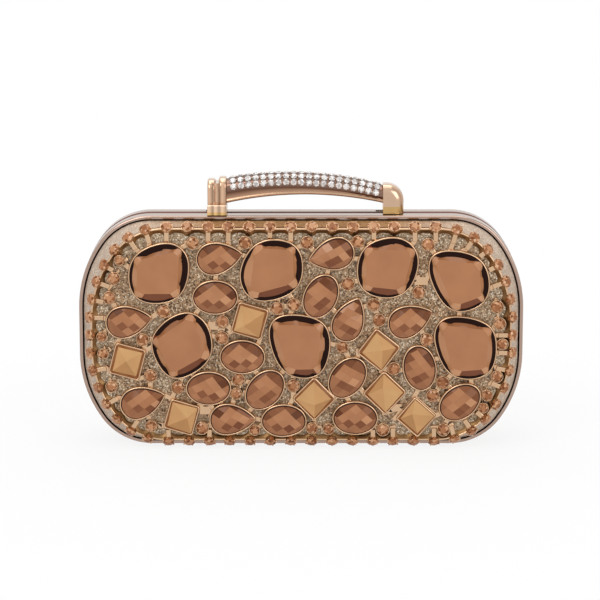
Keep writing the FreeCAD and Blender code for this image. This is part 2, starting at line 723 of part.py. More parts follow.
def feature(name, shapes):
    item = doc.addObject("Part::Feature", name)
    item.Shape = shapes[0] if len(shapes) == 1 else Part.makeCompound(shapes)
    item.Placement = Placement()
    item.Label = name


# Catches: a leaf riveted under the front frame's wall, hooked behind the latch bar

under = size(wall_under)
leaf = size("catch_thick")
bend_drop = size("slide_gap + catch_thick / 2")
hook_front = size(latch_back + " + slide_gap")
hook_low = size(wall_under + " - latch_drop - catch_hook")
pad_front = -size("frame_depth - cover_tuck - slide_gap")
pad_back = pad_front + size("catch_pad")
leaf_profile = [
    (pad_front, under), (pad_back, under), (pad_back + bend_drop, under - bend_drop),
    (hook_front + leaf, under - bend_drop), (hook_front + leaf, hook_low), (hook_front, hook_low),
    (hook_front, under - bend_drop - leaf), (pad_back, under - bend_drop - leaf),
    (pad_back - bend_drop, under - leaf), (pad_front, under - leaf),
]
catches, rivets = [], []
for side, middle in catch_places:
    centre = size(middle)
    hook = prism_along(leaf_profile, "x", centre - size("catch_width / 2"), size("catch_width"))
    plate = Part.makeBox(size("catch_pad"), size("catch_pad") - leaf, leaf,
                         Vector(centre - size("catch_pad / 2"), pad_front, under - leaf))
    hole = Part.makeCylinder(size("rivet_radius + pin_clearance"), leaf * 3,
                             Vector(centre, pad_front + size("catch_pad / 2"), under - leaf * 2))
    catches.append(hook.fuse(plate).cut(hole).removeSplitter())
    rivet_place = Vector(centre, pad_front + size("catch_pad / 2"), under - leaf)
    shaft = Part.makeCylinder(size("rivet_radius"), leaf, rivet_place)
    head = Part.makeCylinder(size("rivet_head"), size("rivet_head_height"),
                             rivet_place - Vector(0, 0, size("rivet_head_height")))
    rivets.append(shaft.fuse(head).removeSplitter())
feature("catch_springs", catches)
feature("catch_rivets", rivets)

# Return spring: one folded strip between the stop and the latch bar's end

strip = size("spring_leaf")
spring_start = size(spring_stop_start + " + frame_wall")
spring_end = size(latch_left)
spring_y = size("stem_back")
fold_thick = strip * 2
fold_half = size("latch_width / 2") - fold_thick
fold_count = 4
fold = (spring_end - spring_start) / fold_count
spring_z = size(latch_top + " - latch_thick / 2 - spring_drop / 2")
fold_line = [Vector(spring_start + fold * i, spring_y + fold_half * (1 if i % 2 else -1), spring_z)
             for i in range(fold_count + 1)]
spring_corners = fold_line + [point + Vector(0, fold_thick, 0) for point in reversed(fold_line)]
feature("return_spring", [Part.Face(Part.makePolygon(spring_corners + spring_corners[:1])).extrude(
    Vector(0, 0, size("spring_drop")))])

# Layout of the stones, in pixels of the 600 x 600 photograph, mapped onto the front face

rim_centre_pixels = (301, 335.8)
rim_half_pixels = (209.8, 104.7)
large_corner_pixels = [
    [(170, 240), (192, 259), (181, 303), (131, 303), (128, 257)],
    [(256, 239), (302, 243.5), (302, 292), (253, 305), (236, 276)],
    [(400, 235), (422, 258), (405, 300), (357, 294), (358, 247)],
    [(436, 249), (485, 257), (491, 303), (449, 316), (425, 271)],
    [(190, 310), (210, 327), (212, 362), (170, 385), (147, 345), (163, 321)],
    [(278, 313.5), (322, 318), (332, 343), (321, 379), (282, 376), (266, 333)],
    [(442, 316.5), (476, 318), (499, 333), (494, 377), (450, 380), (432, 338)],
]
oval_size_pixels = (44, 32)
oval_place_pixels = [
    (215, 297.5, 0), (242, 357, 0), (208, 388.5, 0), (264.5, 390, 45), (283.5, 421.5, 0),
    (347.5, 378, 50), (355.5, 418.5, 0), (320.5, 296.5, 62), (420, 368, 100), (461, 402.5, 33),
]
pear_size_pixels = (45, 33)
pear_place_pixels = [
    (219.5, 258.5, 10), (331, 255.5, 194), (128.5, 321.5, 9), (349.5, 319.5, 66),
    (410.5, 320.5, 22), (141.5, 402, 18), (232, 420, 1),
]
square_size_pixels = 29.5
square_place_pixels = [
    (249.6, 321, -16), (126.5, 361.5, -15), (180.5, 417.5, -16), (314, 399, 45), (379, 350, -38),
    (385, 393, -43), (417, 417.5, -41),
]
chaton_size_pixels = 11.2
chaton_place_pixels = [
    (193, 244), (245, 243.5), (307, 243.5), (357.5, 242.5), (427.6, 245.5), (119.6, 261), (113.7, 279),
    (109, 298), (277, 308.6), (293.5, 305), (347.7, 284.5), (373.5, 305), (418.5, 293), (497, 307), (101, 337),
    (142, 340), (102, 354), (149.5, 376), (110, 387), (177, 388), (222, 322), (221.6, 338), (238, 380),
    (235.5, 394), (149.5, 427), (201, 429), (254, 431), (293, 386), (163, 312), (379, 320.5), (342.5, 347.5),
    (394, 369), (427, 340), (443.5, 383), (433.5, 396), (312, 429), (328.6, 430), (383.6, 430.5), (444.5, 430.6),
    (484.5, 408.5), (488.5, 396), (498, 377), (503, 344.5), (500, 324),
]
plate_size_pixels = (11, 7)
plate_place_pixels = [(205, 411.5), (213.5, 326.5), (396, 409), (422, 282)]
outline_steps = 24

field_y = -size("field_depth")
web_y = field_y - size("web_thick")
bezel_y = web_y - size("bezel_height")
rim_half = (size("bag_width / 2 - rim_inset_x"), size("bag_height / 2 - rim_inset_z"))
pixel_size = rim_half[0] / rim_half_pixels[0]


def from_pixels(point):
    """A point of the photograph on the front face, as X and Z."""
    x = (point[0] - rim_centre_pixels[0]) / rim_half_pixels[0] * rim_half[0]
    z = (rim_centre_pixels[1] - point[1]) / rim_half_pixels[1] * rim_half[1]
    return (x, size("bag_height / 2") + z)


def turned(points, place):
    """Outline points about (0, 0), turned counter-clockwise and moved to a place in pixels."""
    angle = math.radians(place[2])
    return [from_pixels((place[0] + x * math.cos(angle) - y * math.sin(angle),
                         place[1] - x * math.sin(angle) - y * math.cos(angle))) for x, y in points]


def round_corners(corners, steps):
    """Smooth closed outline that touches the middle of each side of a polygon."""
    count = len(corners)
    points = []
    for i in range(count):
        before, corner, after = corners[i - 1], corners[i], corners[(i + 1) % count]
        for step in range(steps):
            t = step / steps
            share_before = (1 - t) ** 2 / 2
            share_after = t ** 2 / 2
            share_corner = 1 - share_before - share_after
            points.append(tuple(share_before * b + share_corner * c + share_after * a
                                for b, c, a in zip(before, corner, after)))
    return points


def ellipse(length, width):
    turns = [2 * math.pi * i / outline_steps for i in range(outline_steps)]
    return [(length / 2 * math.cos(turn), width / 2 * math.sin(turn)) for turn in turns]


pear_fullness_share = 1.12
pear_tip_share = 0.7


def teardrop(length, width):
    """Pear outline with its tip along +X."""
    turns = [2 * math.pi * i / outline_steps for i in range(outline_steps)]
    half = width / 2 * pear_fullness_share
    return [(length / 2 * math.cos(turn), half * math.sin(turn) * math.sin(turn / 2) ** pear_tip_share)
            for turn in turns]


def square(side):
    half = side / 2
    return [(half, -half), (half, half), (-half, half), (-half, -half)]


def area_of(points):
    return sum(a[0] * b[1] - b[0] * a[1] for a, b in zip(points, points[1:] + points[:1])) / 2


def counter_clockwise(points):
    return points if area_of(points) > 0 else points[::-1]


def inset(points, distance):
    """A convex outline moved inwards by a distance."""
    moved = []
    count = len(points)
    for i in range(count):
        ends = [points[i - 1], points[i], points[(i + 1) % count]]
        normals = []
        for (x0, z0), (x1, z1) in zip(ends, ends[1:]):
            run = math.hypot(x1 - x0, z1 - z0)
            normals.append(((z0 - z1) / run, (x1 - x0) / run))
        bisector = (normals[0][0] + normals[1][0], normals[0][1] + normals[1][1])
        stretch = 2 * distance / (bisector[0] ** 2 + bisector[1] ** 2)
        moved.append((points[i][0] + bisector[0] * stretch, points[i][1] + bisector[1] * stretch))
    return moved


def middle_of(points):
    return (sum(p[0] for p in points) / len(points), sum(p[1] for p in points) / len(points))


def scaled(points, share):
    cx, cz = middle_of(points)
    return [(cx + (x - cx) * share, cz + (z - cz) * share) for x, z in points]


def wire_at(points, depth):
    corners = [Vector(x, depth, z) for x, z in points]
    return Part.makePolygon(corners + corners[:1])


def ring_solid(outer, inner, start, end):
    """A wall between two outlines from one depth to another."""
    face = Part.Face([wire_at(outer, start), wire_at(inner, start)])
    face.validate()
    return face.extrude(Vector(0, end - start, 0))


def stone_solid(outline, tiers):
    """A faceted stone: its outline at the foot, then a share of it at each depth."""
    wires = [wire_at(scaled(outline, share), depth) for share, depth in tiers]
    return Part.makeLoft(wires, True, True)


# Each kind: crown tiers as shares of the outline and of the crown's rise

crown_shares = {
    "large": [(0.93, 0.55), (0.74, 1)],
    "oval": [(0.9, 0.45), (0.66, 0.8), (0.34, 1)],
    "pear": [(0.9, 0.45), (0.66, 0.8), (0.34, 1)],
    "square": [(0.1, 1)],
}
girdle_share = 0.85
stone_outlines = {
    "large": [[from_pixels(point) for point in round_corners(corners, outline_steps // len(corners))]
              for corners in large_corner_pixels],
    "oval": [turned(ellipse(*oval_size_pixels), place) for place in oval_place_pixels],
    "pear": [turned(teardrop(*pear_size_pixels), place) for place in pear_place_pixels],
    "square": [turned(square(square_size_pixels), place) for place in square_place_pixels],
}
bezels = []
stone_nodes = []
settings = []
table_y = -size("bag_depth / 2")
for kind, outlines in stone_outlines.items():
    for number, outline in enumerate(outlines, 1):
        outline = counter_clockwise(outline)
        settings.append(outline)
        opening = inset(outline, size("bezel_wall"))
        girdle = inset(outline, size("bezel_wall + stone_gap"))
        bezels.append(ring_solid(outline, opening, web_y, bezel_y))
        girdle_y = web_y + (bezel_y - web_y) * girdle_share
        tiers = [(1, web_y), (1, girdle_y)]
        tiers += [(share, girdle_y + (table_y - girdle_y) * rise) for share, rise in crown_shares[kind]]
        node = "%s_stone_%d" % (kind, number)
        feature(node, [stone_solid(girdle, tiers)])
        stone_nodes.append(node)
feature("stone_bezels", bezels)

# Small round stones of the field, in plain rings

chaton_radius = chaton_size_pixels / 2 * pixel_size
chaton_sides = 10
ring_y = web_y - size("chaton_ring")
chaton_rings, field_chatons = [], []


def circle(centre, radius, sides):
    turns = [2 * math.pi * i / sides for i in range(sides)]
    return [(centre[0] + radius * math.cos(turn), centre[1] + radius * math.sin(turn)) for turn in turns]


gem_table_share = 0.55
chaton_crown_shares = [(gem_table_share, 1)]
for place in chaton_place_pixels:
    outline = circle(from_pixels(place), chaton_radius, chaton_sides * 2)
    settings.append(outline)
    chaton_rings.append(ring_solid(outline, inset(outline, size("ring_wall")), web_y, ring_y))
    girdle = circle(from_pixels(place), chaton_radius - size("ring_wall + 2 * stone_gap"), chaton_sides)
    tiers = [(1, web_y), (1, ring_y)]
    tiers += [(share, ring_y - size("chaton_rise") * rise) for share, rise in chaton_crown_shares]
    field_chatons.append(stone_solid(girdle, tiers))
feature("chaton_rings", chaton_rings)
feature("field_chatons", field_chatons)

plates = []
for place in plate_place_pixels:
    half_x, half_z = (length / 2 for length in plate_size_pixels)
    plates.append([from_pixels((place[0] + sx * half_x, place[1] - sz * half_z))
                   for sx, sz in ((-1, -1), (1, -1), (1, 1), (-1, 1))])
settings += plates

# Openwork: a plate under each setting, bars between neighbours, and spokes to the rail

link_reach = size("web_bar * link_share")
spoke_reach = size("web_bar * spoke_share")
bar_sink = size("bezel_wall")


def nearest(points, others):
    """The closest pair between two outlines."""
    return min(((math.dist(p, q), p, q) for p in points for q in others), key=lambda found: found[0])


def bar_face(start, end):
    """A bar of the openwork between two points, sunk a little into both ends."""
    run = math.dist(start, end) or 1
    along = ((end[0] - start[0]) / run, (end[1] - start[1]) / run)
    half = size("web_bar / 2")
    side = (-along[1] * half, along[0] * half)
    first = (start[0] - along[0] * bar_sink * 2, start[1] - along[1] * bar_sink * 2)
    last = (end[0] + along[0] * bar_sink * 2, end[1] + along[1] * bar_sink * 2)
    corners = [(first[0] - side[0], first[1] - side[1]), (last[0] - side[0], last[1] - side[1]),
               (last[0] + side[0], last[1] + side[1]), (first[0] + side[0], first[1] + side[1])]
    return Part.Face(wire_at(corners, field_y))


def rim_wire(further_in):
    """Outline of the front face at the field, moved inwards."""
    edges = outline_edges(size("rim_inset_x") + further_in, size("rim_inset_z") + further_in, further_in)
    wire = Part.Wire([edge.toShape() for edge in edges])
    turn = Placement(Vector(-size("bag_width / 2"), field_y, 0), Rotation(Vector(1, 0, 0), 90))
    return wire.transformed(turn.toMatrix())


rail_outer = rim_wire(size("rail_set_in"))
rail_inner = rim_wire(size("rail_set_in + rail_width"))
rail_face = Part.Face([rail_outer, rail_inner])
rail_face.validate()
web_faces = [Part.Face(wire_at(outline, field_y)) for outline in settings]
for i, outline in enumerate(settings):
    for other in settings[:i]:
        gap, start, end = nearest(outline, other)
        if gap < link_reach:
            web_faces.append(bar_face(start, end))

# Border cups along the rim, turned outwards by half a right angle

rim_path = rim_wire(0)
row_count = 16
side_count = 13
path_steps = 2400
path_points = rim_path.discretize(Number=path_steps + 1)[:-1]
centre_point = Vector(0, field_y, size("bag_height / 2"))
top_index = min(range(path_steps), key=lambda i: abs(path_points[i].x) - path_points[i].z)
cup_turn = math.radians(45)


def on_rim(way):
    """Point and outward direction at a share of the way round the rim from its top middle."""
    index = (top_index + round(way * path_steps)) % path_steps
    tangent = path_points[(index + 1) % path_steps] - path_points[index - 1]
    out = Vector(tangent.z, 0, -tangent.x).normalize()
    point = path_points[index]
    return point, out if out.dot(point - centre_point) > 0 else out * -1


step_share = size("cup_step") / rim_path.Length
row_half_share = step_share * (row_count - 1) / 2
row_shares = [step_share * (i - (row_count - 1) / 2) for i in range(row_count)]
side_step_share = (0.5 - 2 * row_half_share) / (side_count + 1)
side_shares = [row_half_share + side_step_share * (i + 1) for i in range(side_count)]
cup_shares = row_shares + side_shares + [0.5 + share for share in row_shares + side_shares]
cup_base_radius = size("cup_radius - cup_taper")
cup_cone = Part.makeCone(cup_base_radius, size("cup_radius"), size("cup_height"))
cup_hollow = Part.makeCylinder(size("cup_radius - cup_wall"), size("cup_height"),
                               Vector(0, 0, size("cup_floor")))
cup_shape = cup_cone.cut(cup_hollow)
gem_radius = size("cup_radius - cup_wall - stone_gap")


def flat_polygon(radius, sides, height):
    corners = [Vector(x, y, height) for x, y in circle((0, 0), radius, sides)]
    return Part.makePolygon(corners + corners[:1])


def gem(radius, sides, foot, girdle, top, table_share):
    """A small round stone standing along Z."""
    return Part.makeLoft([flat_polygon(radius, sides, foot), flat_polygon(radius, sides, girdle),
                          flat_polygon(radius * table_share, sides, top)], True, True)


border_gem = gem(gem_radius, chaton_sides, size("cup_floor"), size("cup_height"),
                 size("cup_height + chaton_rise"), gem_table_share)
border_cups, border_chatons, border_spokes = [], [], []


dense_steps = 20
spot_shares = (0, 0.25, 0.5, 0.75, 1)


def dense(outline):
    """An outline with more points along each side."""
    shares = [i / dense_steps for i in range(dense_steps)]
    return [(a[0] + (b[0] - a[0]) * t, a[1] + (b[1] - a[1]) * t)
            for a, b in zip(outline, outline[1:] + outline[:1]) for t in shares]


dense_settings = [dense(outline) for outline in settings]
spoke_clearance = size("spoke_width / 2 + 2 * glue_gap")


def clear_to(spots):
    """True where a short bar through these points keeps clear of every setting."""
    flat_spots = [(spot.x, spot.z) for spot in spots]
    return min(nearest(flat_spots, outline)[0] for outline in dense_settings) > spoke_clearance


def spoke_solid(first, last, out):
    """A short bar that lies on the rail, square to the rim."""
    side = Vector(out.z, 0, -out.x) * size("spoke_width / 2")
    lift = Vector(0, web_y - field_y, 0)
    corners = [first + side + lift, last + side + lift, last - side + lift, first - side + lift]
    return Part.Face(Part.makePolygon(corners + corners[:1])).extrude(Vector(0, -size("spoke_rise"), 0))


for share in cup_shares:
    rim_point, out = on_rim(share)
    normal = out * math.sin(cup_turn) + Vector(0, -math.cos(cup_turn), 0)
    place = Placement(rim_point + normal * size("glue_gap"), Rotation(Vector(0, 0, 1), normal))
    border_cups.append(cup_shape.transformed(place.toMatrix()))
    border_chatons.append(border_gem.transformed(place.toMatrix()))
    inner = rim_point - out * size("rail_set_in + rail_width")
    foot = (inner.x, inner.z)
    gap, start, end = min((nearest([foot], outline) for outline in settings), key=lambda found: found[0])
    if gap < spoke_reach:
        web_faces.append(bar_face(start, end))
    first = rim_point - out * size("rail_set_in - glue_gap")
    spots = [first + (inner - first) * share for share in spot_shares]
    clear_spots = [spot for i, spot in enumerate(spots) if clear_to(spots[:i + 1])]
    if len(clear_spots) > 2:
        border_spokes.append(spoke_solid(clear_spots[0], clear_spots[-1], out))
feature("border_spokes", border_spokes)
feature("border_cups", border_cups)
feature("border_chatons", border_chatons)

feature("border_rail", [rail_face.extrude(Vector(0, -size("web_thick"), 0))])
cage_edge = Part.Face(rim_wire(size("rail_set_in + rail_width + glue_gap")))
web_shape = rail_face.multiFuse(web_faces).removeSplitter().common(cage_edge)
feature("jewel_cage", [face.extrude(Vector(0, -size("web_thick"), 0)) for face in web_shape.Faces])

# Clear stones on the bar: rows along the rounded top

pave_row_angles = (0, 45, 90, 135, 180)
bar_top_arc = Part.Arc(bar_points["high_left"], bar_points["high_peak"], bar_points["high_right"])
pave_sides = 8
pave_gem = gem(size("pave_radius"), pave_sides, 0, size("pave_height / 3"), size("pave_height"),
               gem_table_share)
top_edge = bar_top_arc.toShape()
pave_count = int((top_edge.Length - size("pave_radius")) / size("pave_step"))
pave_start = (top_edge.Length - (pave_count - 1) * size("pave_step")) / 2
pave_gems = []
flat_half = size("bar_depth / 2 - bar_round")
for angle in pave_row_angles:
    turn = math.radians(angle)
    for i in range(pave_count):
        parameter = top_edge.getParameterByLength(pave_start + i * size("pave_step"))
        spot = top_edge.valueAt(parameter)
        along = top_edge.tangentAt(parameter)
        along = Vector(along.x, 0, along.y)
        up = Vector(-along.z, 0, along.x)
        up = up if up.z > 0 else up * -1
        across = -math.cos(turn)
        normal = up * math.sin(turn) + Vector(0, across, 0)
        flat = flat_half * (0 if angle == 90 else math.copysign(1, across))
        crest = Vector(spot.x - size("handle_left"), flat, spot.y + size("bag_height"))
        surface = crest - up * size("bar_round") + normal * size("bar_round + pin_clearance")
        place = Placement(surface, Rotation(Vector(0, 0, 1), normal))
        pave_gems.append(pave_gem.transformed(place.toMatrix()))
feature("handle_crystals", pave_gems)

# Check and write every piece

doc.recompute()
nodes = ["back_frame", "front_frame", "handle_left_post", "handle_right_elbow", "handle_bar", "latch_bar",
         "latch_screws", "catch_springs", "catch_rivets", "return_spring", "stone_bezels", "chaton_rings",
         "field_chatons", "border_cups", "border_chatons", "border_rail", "border_spokes",
         "jewel_cage", "handle_crystals"]
nodes += pins + dish_nodes + stone_nodes
for item in doc.Objects:
    if "Invalid" in item.State or "Error" in item.State:
        raise RuntimeError("%s failed: %s" % (item.Label, item.State))
os.makedirs("parts", exist_ok=True)
for node in nodes:
    shape = doc.getObjectsByLabel(node)[0].Shape
    if shape.isNull() or not shape.isValid():
        raise RuntimeError("%s has no valid shape" % node)
    shape.exportStep("parts/%s.step" % node)
    print("%s: %d solids, %.1f mm3" % (node, len(shape.Solids), shape.Volume))
print("%d nodes" % len(nodes))
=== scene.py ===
import math
import random

import bmesh
import bpy
from mathutils import Matrix, Vector, kdtree


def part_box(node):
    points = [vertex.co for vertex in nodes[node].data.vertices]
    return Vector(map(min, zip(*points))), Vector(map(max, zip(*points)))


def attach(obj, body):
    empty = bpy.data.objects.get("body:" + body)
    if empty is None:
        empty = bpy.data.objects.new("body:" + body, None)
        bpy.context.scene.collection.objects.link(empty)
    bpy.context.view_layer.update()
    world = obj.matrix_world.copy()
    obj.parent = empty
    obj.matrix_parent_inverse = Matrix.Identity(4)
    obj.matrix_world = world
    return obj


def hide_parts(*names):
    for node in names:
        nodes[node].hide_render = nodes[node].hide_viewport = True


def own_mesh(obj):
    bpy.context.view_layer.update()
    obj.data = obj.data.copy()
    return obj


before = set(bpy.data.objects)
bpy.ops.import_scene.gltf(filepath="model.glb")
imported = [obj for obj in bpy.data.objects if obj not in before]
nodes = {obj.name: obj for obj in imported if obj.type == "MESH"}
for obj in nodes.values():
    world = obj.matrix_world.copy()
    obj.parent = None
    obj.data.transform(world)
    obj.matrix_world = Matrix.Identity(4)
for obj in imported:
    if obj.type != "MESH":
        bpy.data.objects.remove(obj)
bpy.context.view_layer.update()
mm = 0.001
weld = 0.002 * mm       # points nearer than this are joined
flush = 0.01 * mm       # points nearer to a plane than this lie in it
white = (1, 1, 1, 1)
middleZ = 52.5 * mm     # half the case's height
print("frame loaded:", len(nodes), "nodes")


def addObject(name, data):
    thing = bpy.data.objects.new(name, data)
    bpy.context.scene.collection.objects.link(thing)
    return thing


# camera

cameraSetup = {
    "elevation": 11.4,      # degrees above the bag's middle
    "distance": 1.2,
    "lens": 158.5,
    "sensor": 36,
    "nearest": 0.05,
    "middle": (0, 0, middleZ),
    "aimRight": -0.52 * mm,
    "aimUp": 12.0 * mm,
}


def makeCamera(setup):
    tilt = math.radians(setup["elevation"])
    right = Vector((1, 0, 0))
    up = Vector((0, math.sin(tilt), math.cos(tilt)))
    back = Vector((0, -math.cos(tilt), math.sin(tilt)))
    aim = Vector(setup["middle"]) + right * setup["aimRight"] + up * setup["aimUp"]
    data = bpy.data.cameras.new("photoCamera")
    data.lens = setup["lens"]
    data.sensor_width = setup["sensor"]
    data.clip_start = setup["nearest"]
    camera = addObject("photoCamera", data)
    stand = Matrix((right, up, back)).transposed().to_4x4()
    stand.translation = aim + back * setup["distance"]
    camera.matrix_world = stand
    bpy.context.scene.camera = camera


makeCamera(cameraSetup)
print("camera set")


# node helpers

def rgb(*levels):
    # screen colour, 0 to 255, to linear
    shares = [level / 255 for level in levels]
    return tuple(v / 12.92 if v <= 0.04045 else ((v + 0.055) / 1.055) ** 2.4 for v in shares) + (1,)


def feed(node, inputs):
    # constants are set, outputs of other nodes are linked
    for key, value in inputs.items():
        if hasattr(value, "is_output"):
            node.id_data.links.new(value, node.inputs[key])
        else:
            node.inputs[key].default_value = value
    return node


def addNode(tree, kind, inputs=None, **settings):
    node = tree.nodes.new("ShaderNode" + kind)
    for key, value in settings.items():
        setattr(node, key, value)
    return feed(node, inputs or {})


def ramp(tree, source, stops):
    node = addNode(tree, "ValToRGB", {"Fac": source})
    elements = node.color_ramp.elements
    while len(elements) < len(stops):
        elements.new(0.5)
    for element, (where, colour) in zip(elements, stops):
        element.position = where
        element.color = colour
    return node.outputs["Color"]


def mapRange(tree, source, low, high, newLow, newHigh):
    span = {"From Min": low, "From Max": high, "To Min": newLow, "To Max": newHigh}
    return addNode(tree, "MapRange", {"Value": source, **span}).outputs["Result"]


def mixColours(tree, factor, a, b, blend="MIX"):
    return addNode(tree, "Mix", {0: factor, 6: a, 7: b}, data_type="RGBA", blend_type=blend).outputs[2]


def calculate(tree, operation, *values, clamp=False):
    return addNode(tree, "Math", dict(enumerate(values)), operation=operation, use_clamp=clamp).outputs[0]


def objectPlace(tree):
    return addNode(tree, "TexCoord").outputs["Object"]


def objectAxes(tree):
    return addNode(tree, "SeparateXYZ", {0: objectPlace(tree)}).outputs


def noise(tree, scale, detail=2, stretch=(1, 1, 1)):
    where = addNode(tree, "Mapping", {"Vector": objectPlace(tree), "Scale": stretch}).outputs["Vector"]
    return addNode(tree, "TexNoise", {"Vector": where, "Scale": scale, "Detail": detail}).outputs["Fac"]


def facetTone(tree):
    # tones kept in the mesh
    return addNode(tree, "Attribute", attribute_name="facetTone").outputs["Color"]


def bump(tree, height, strength, distance):
    inputs = {"Height": height, "Strength": strength, "Distance": distance}
    return addNode(tree, "Bump", inputs).outputs["Normal"]


def newMaterial(name):
    material = bpy.data.materials.new(name)
    material.use_nodes = True
    return material, material.node_tree, material.node_tree.nodes["Principled BSDF"]


def openGroup(name, **inputs):
    # a tuple stands for a colour, a number for a value
    group = bpy.data.node_groups.new(name, "ShaderNodeTree")
    for label, value in inputs.items():
        kind = "NodeSocketColor" if isinstance(value, tuple) else "NodeSocketFloat"
        group.interface.new_socket(label, in_out="INPUT", socket_type=kind).default_value = value
    return group, group.nodes.new("NodeGroupInput").outputs


def closeGroup(group, **results):
    for label, result in results.items():
        kind = "NodeSocketColor" if result.type == "RGBA" else "NodeSocketFloat"
        group.interface.new_socket(label, in_out="OUTPUT", socket_type=kind)
    feed(group.nodes.new("NodeGroupOutput"), results)
    return group


# plated metal

polishLook = {
    "cloud": (55, 4),                       # scale, detail
    "deepen": (0.3, 0.7, 0, 0.35),          # cloud from and to, share of the deep tone
    "hair": 900,
    "hairStretch": (0.12, 1, 1),
    "roughen": (0.3, 0.75, -0.05, 0.07),    # hair from and to, change of roughness
    "bump": (0.03, 0.05 * mm),              # strength, distance
}
# painted shade in the gap between the two half-frames: where it fades out, its colour, roughness and metallic
seamShade = {"lip": (2.2 * mm, 2.5 * mm), "colour": rgb(108, 62, 42), "roughness": 0.7, "metallic": 0.1}


def polishGroup(look):
    # soft cloudiness and hair scratches of polished plating
    group, given = openGroup("platingPolish", Tint=white, Deep=white, Roughness=0.2)
    cloudy = mapRange(group, noise(group, *look["cloud"]), *look["deepen"])
    hair = noise(group, look["hair"], stretch=look["hairStretch"])
    change = mapRange(group, hair, *look["roughen"])
    return closeGroup(group, Colour=mixColours(group, cloudy, given["Tint"], given["Deep"]),
                      Roughness=calculate(group, "ADD", given["Roughness"], change, clamp=True), Height=hair)


polish = polishGroup(polishLook)


def platedMetal(name, tint, deep, roughness, toned=False, seamed=False):
    material, tree, shader = newMaterial(name)
    inputs = {"Tint": tint, "Deep": deep, "Roughness": roughness}
    effect = addNode(tree, "Group", inputs, node_tree=polish).outputs
    colour, gloss, metallic = effect["Colour"], effect["Roughness"], 1
    if toned:
        colour = mixColours(tree, 1, colour, facetTone(tree), "MULTIPLY")
    if seamed:      # painted shade: a dull dark band along the seam where the two half-frames meet
        lip = mapRange(tree, calculate(tree, "ABSOLUTE", objectAxes(tree)["Y"]), *seamShade["lip"], 1, 0)
        colour = mixColours(tree, lip, colour, seamShade["colour"])
        gloss = calculate(tree, "MAXIMUM", gloss, mapRange(tree, lip, 0, 1, 0, seamShade["roughness"]))
        metallic = mapRange(tree, lip, 0, 1, 1, seamShade["metallic"])
    feed(shader, {"Base Color": colour, "Roughness": gloss, "Metallic": metallic,
                  "Normal": bump(tree, effect["Height"], *polishLook["bump"])})
    return material


frameMetal = platedMetal("frameMetal", rgb(174, 150, 136), rgb(156, 130, 115), 0.16, seamed=True)
handleMetal = platedMetal("handleMetal", rgb(255, 255, 255), rgb(228, 216, 208), 0.17, toned=True)
barMetal = platedMetal("barMetal", rgb(255, 255, 255), rgb(226, 214, 206), 0.2, toned=True)
cageMetal = platedMetal("cageMetal", rgb(212, 178, 144), rgb(184, 144, 108), 0.2)
# painted shade: the rail's slope gets a darker brown copy of the gold plating
railShadeMetal = platedMetal("railShadeMetal", rgb(138, 106, 70), rgb(102, 74, 46), 0.4)
springMetal = platedMetal("springMetal", rgb(190, 188, 184), rgb(160, 158, 154), 0.28)


# glitter cloth

glitterLook = {
    "tone": (0.1, 0.62, 0, 1),              # draw from and to, dark to middle flakes
    "bright": (0.72, 0.95, 0, 1),           # draw from and to, light flakes
    "roughness": (0, 1, 0.25, 0.6),
    "metallic": 0.3,
    "bump": (0.4, 0.12 * mm),
}
patchLook = {"scale": 70, "share": (0.45, 0.62, 0, 0.75)}
coverRegions = {
    "wall": (-17.45 * mm, -17.3 * mm),      # depth where the sloped wall starts
    "windowX": (82 * mm, 87 * mm),          # edge of the field, seen between the border bars
    "windowZ": (36 * mm, 41 * mm),
    "topZ": (46 * mm, 48 * mm),             # brown part of the wall, above the middle
    "topX": (78 * mm, 40 * mm),
}


def glitterGroup(look):
    # crushed flakes: a random tone, gloss and height for each cell
    group, given = openGroup("glitterFlakes", Flakes=2000, Dark=white, Middle=white, Light=white)
    cells = addNode(group, "TexVoronoi", {"Vector": objectPlace(group), "Scale": given["Flakes"]})
    draws = addNode(group, "SeparateColor", {"Color": cells.outputs["Color"]}).outputs
    flake = mixColours(group, mapRange(group, draws["Red"], *look["tone"]), given["Dark"], given["Middle"])
    bright = mapRange(group, draws["Green"], *look["bright"])
    return closeGroup(group, Colour=mixColours(group, bright, flake, given["Light"]),
                      Roughness=mapRange(group, draws["Blue"], *look["roughness"]), Height=draws["Red"])


glitter = glitterGroup(glitterLook)


def coverMasks(tree):
    # windows along the border, sloped wall, brown part of the wall
    axes = objectAxes(tree)
    height = calculate(tree, "SUBTRACT", axes["Z"], middleZ)
    farX, farZ = (calculate(tree, "ABSOLUTE", away) for away in (axes["X"], height))

    def mask(source, region):
        return mapRange(tree, source, *coverRegions[region], 0, 1)

    windows = calculate(tree, "MAXIMUM", mask(farX, "windowX"), mask(farZ, "windowZ"))
    wall = mask(axes["Y"], "wall")
    brown = calculate(tree, "MULTIPLY", mask(height, "topZ"), mask(farX, "topX"))
    return windows, wall, calculate(tree, "MULTIPLY", brown, wall)


def patchMask(tree):
    # soft patches of another tone
    return mapRange(tree, noise(tree, patchLook["scale"]), *patchLook["share"])


def glitterCloth(name, flakes, field, light, wall=None, brown=None):
    # each set: dark, middle and light flakes
    material, tree, shader = newMaterial(name)
    effect = addNode(tree, "Group", {"Flakes": flakes}, node_tree=glitter)
    lighter = patchMask(tree)
    if wall:
        windows, wallMask, brownMask = coverMasks(tree)
        lighter = calculate(tree, "MAXIMUM", lighter, windows)
    for i, label in enumerate(("Dark", "Middle", "Light")):
        colour = mixColours(tree, lighter, field[i], light[i])
        if wall:
            colour = mixColours(tree, wallMask, colour, wall[i])
            colour = mixColours(tree, brownMask, colour, brown[i])
        feed(effect, {label: colour})
    result = effect.outputs
    feed(shader, {"Base Color": result["Colour"], "Roughness": result["Roughness"],
                  "Metallic": glitterLook["metallic"],
                  "Normal": bump(tree, result["Height"], *glitterLook["bump"])})
    return material


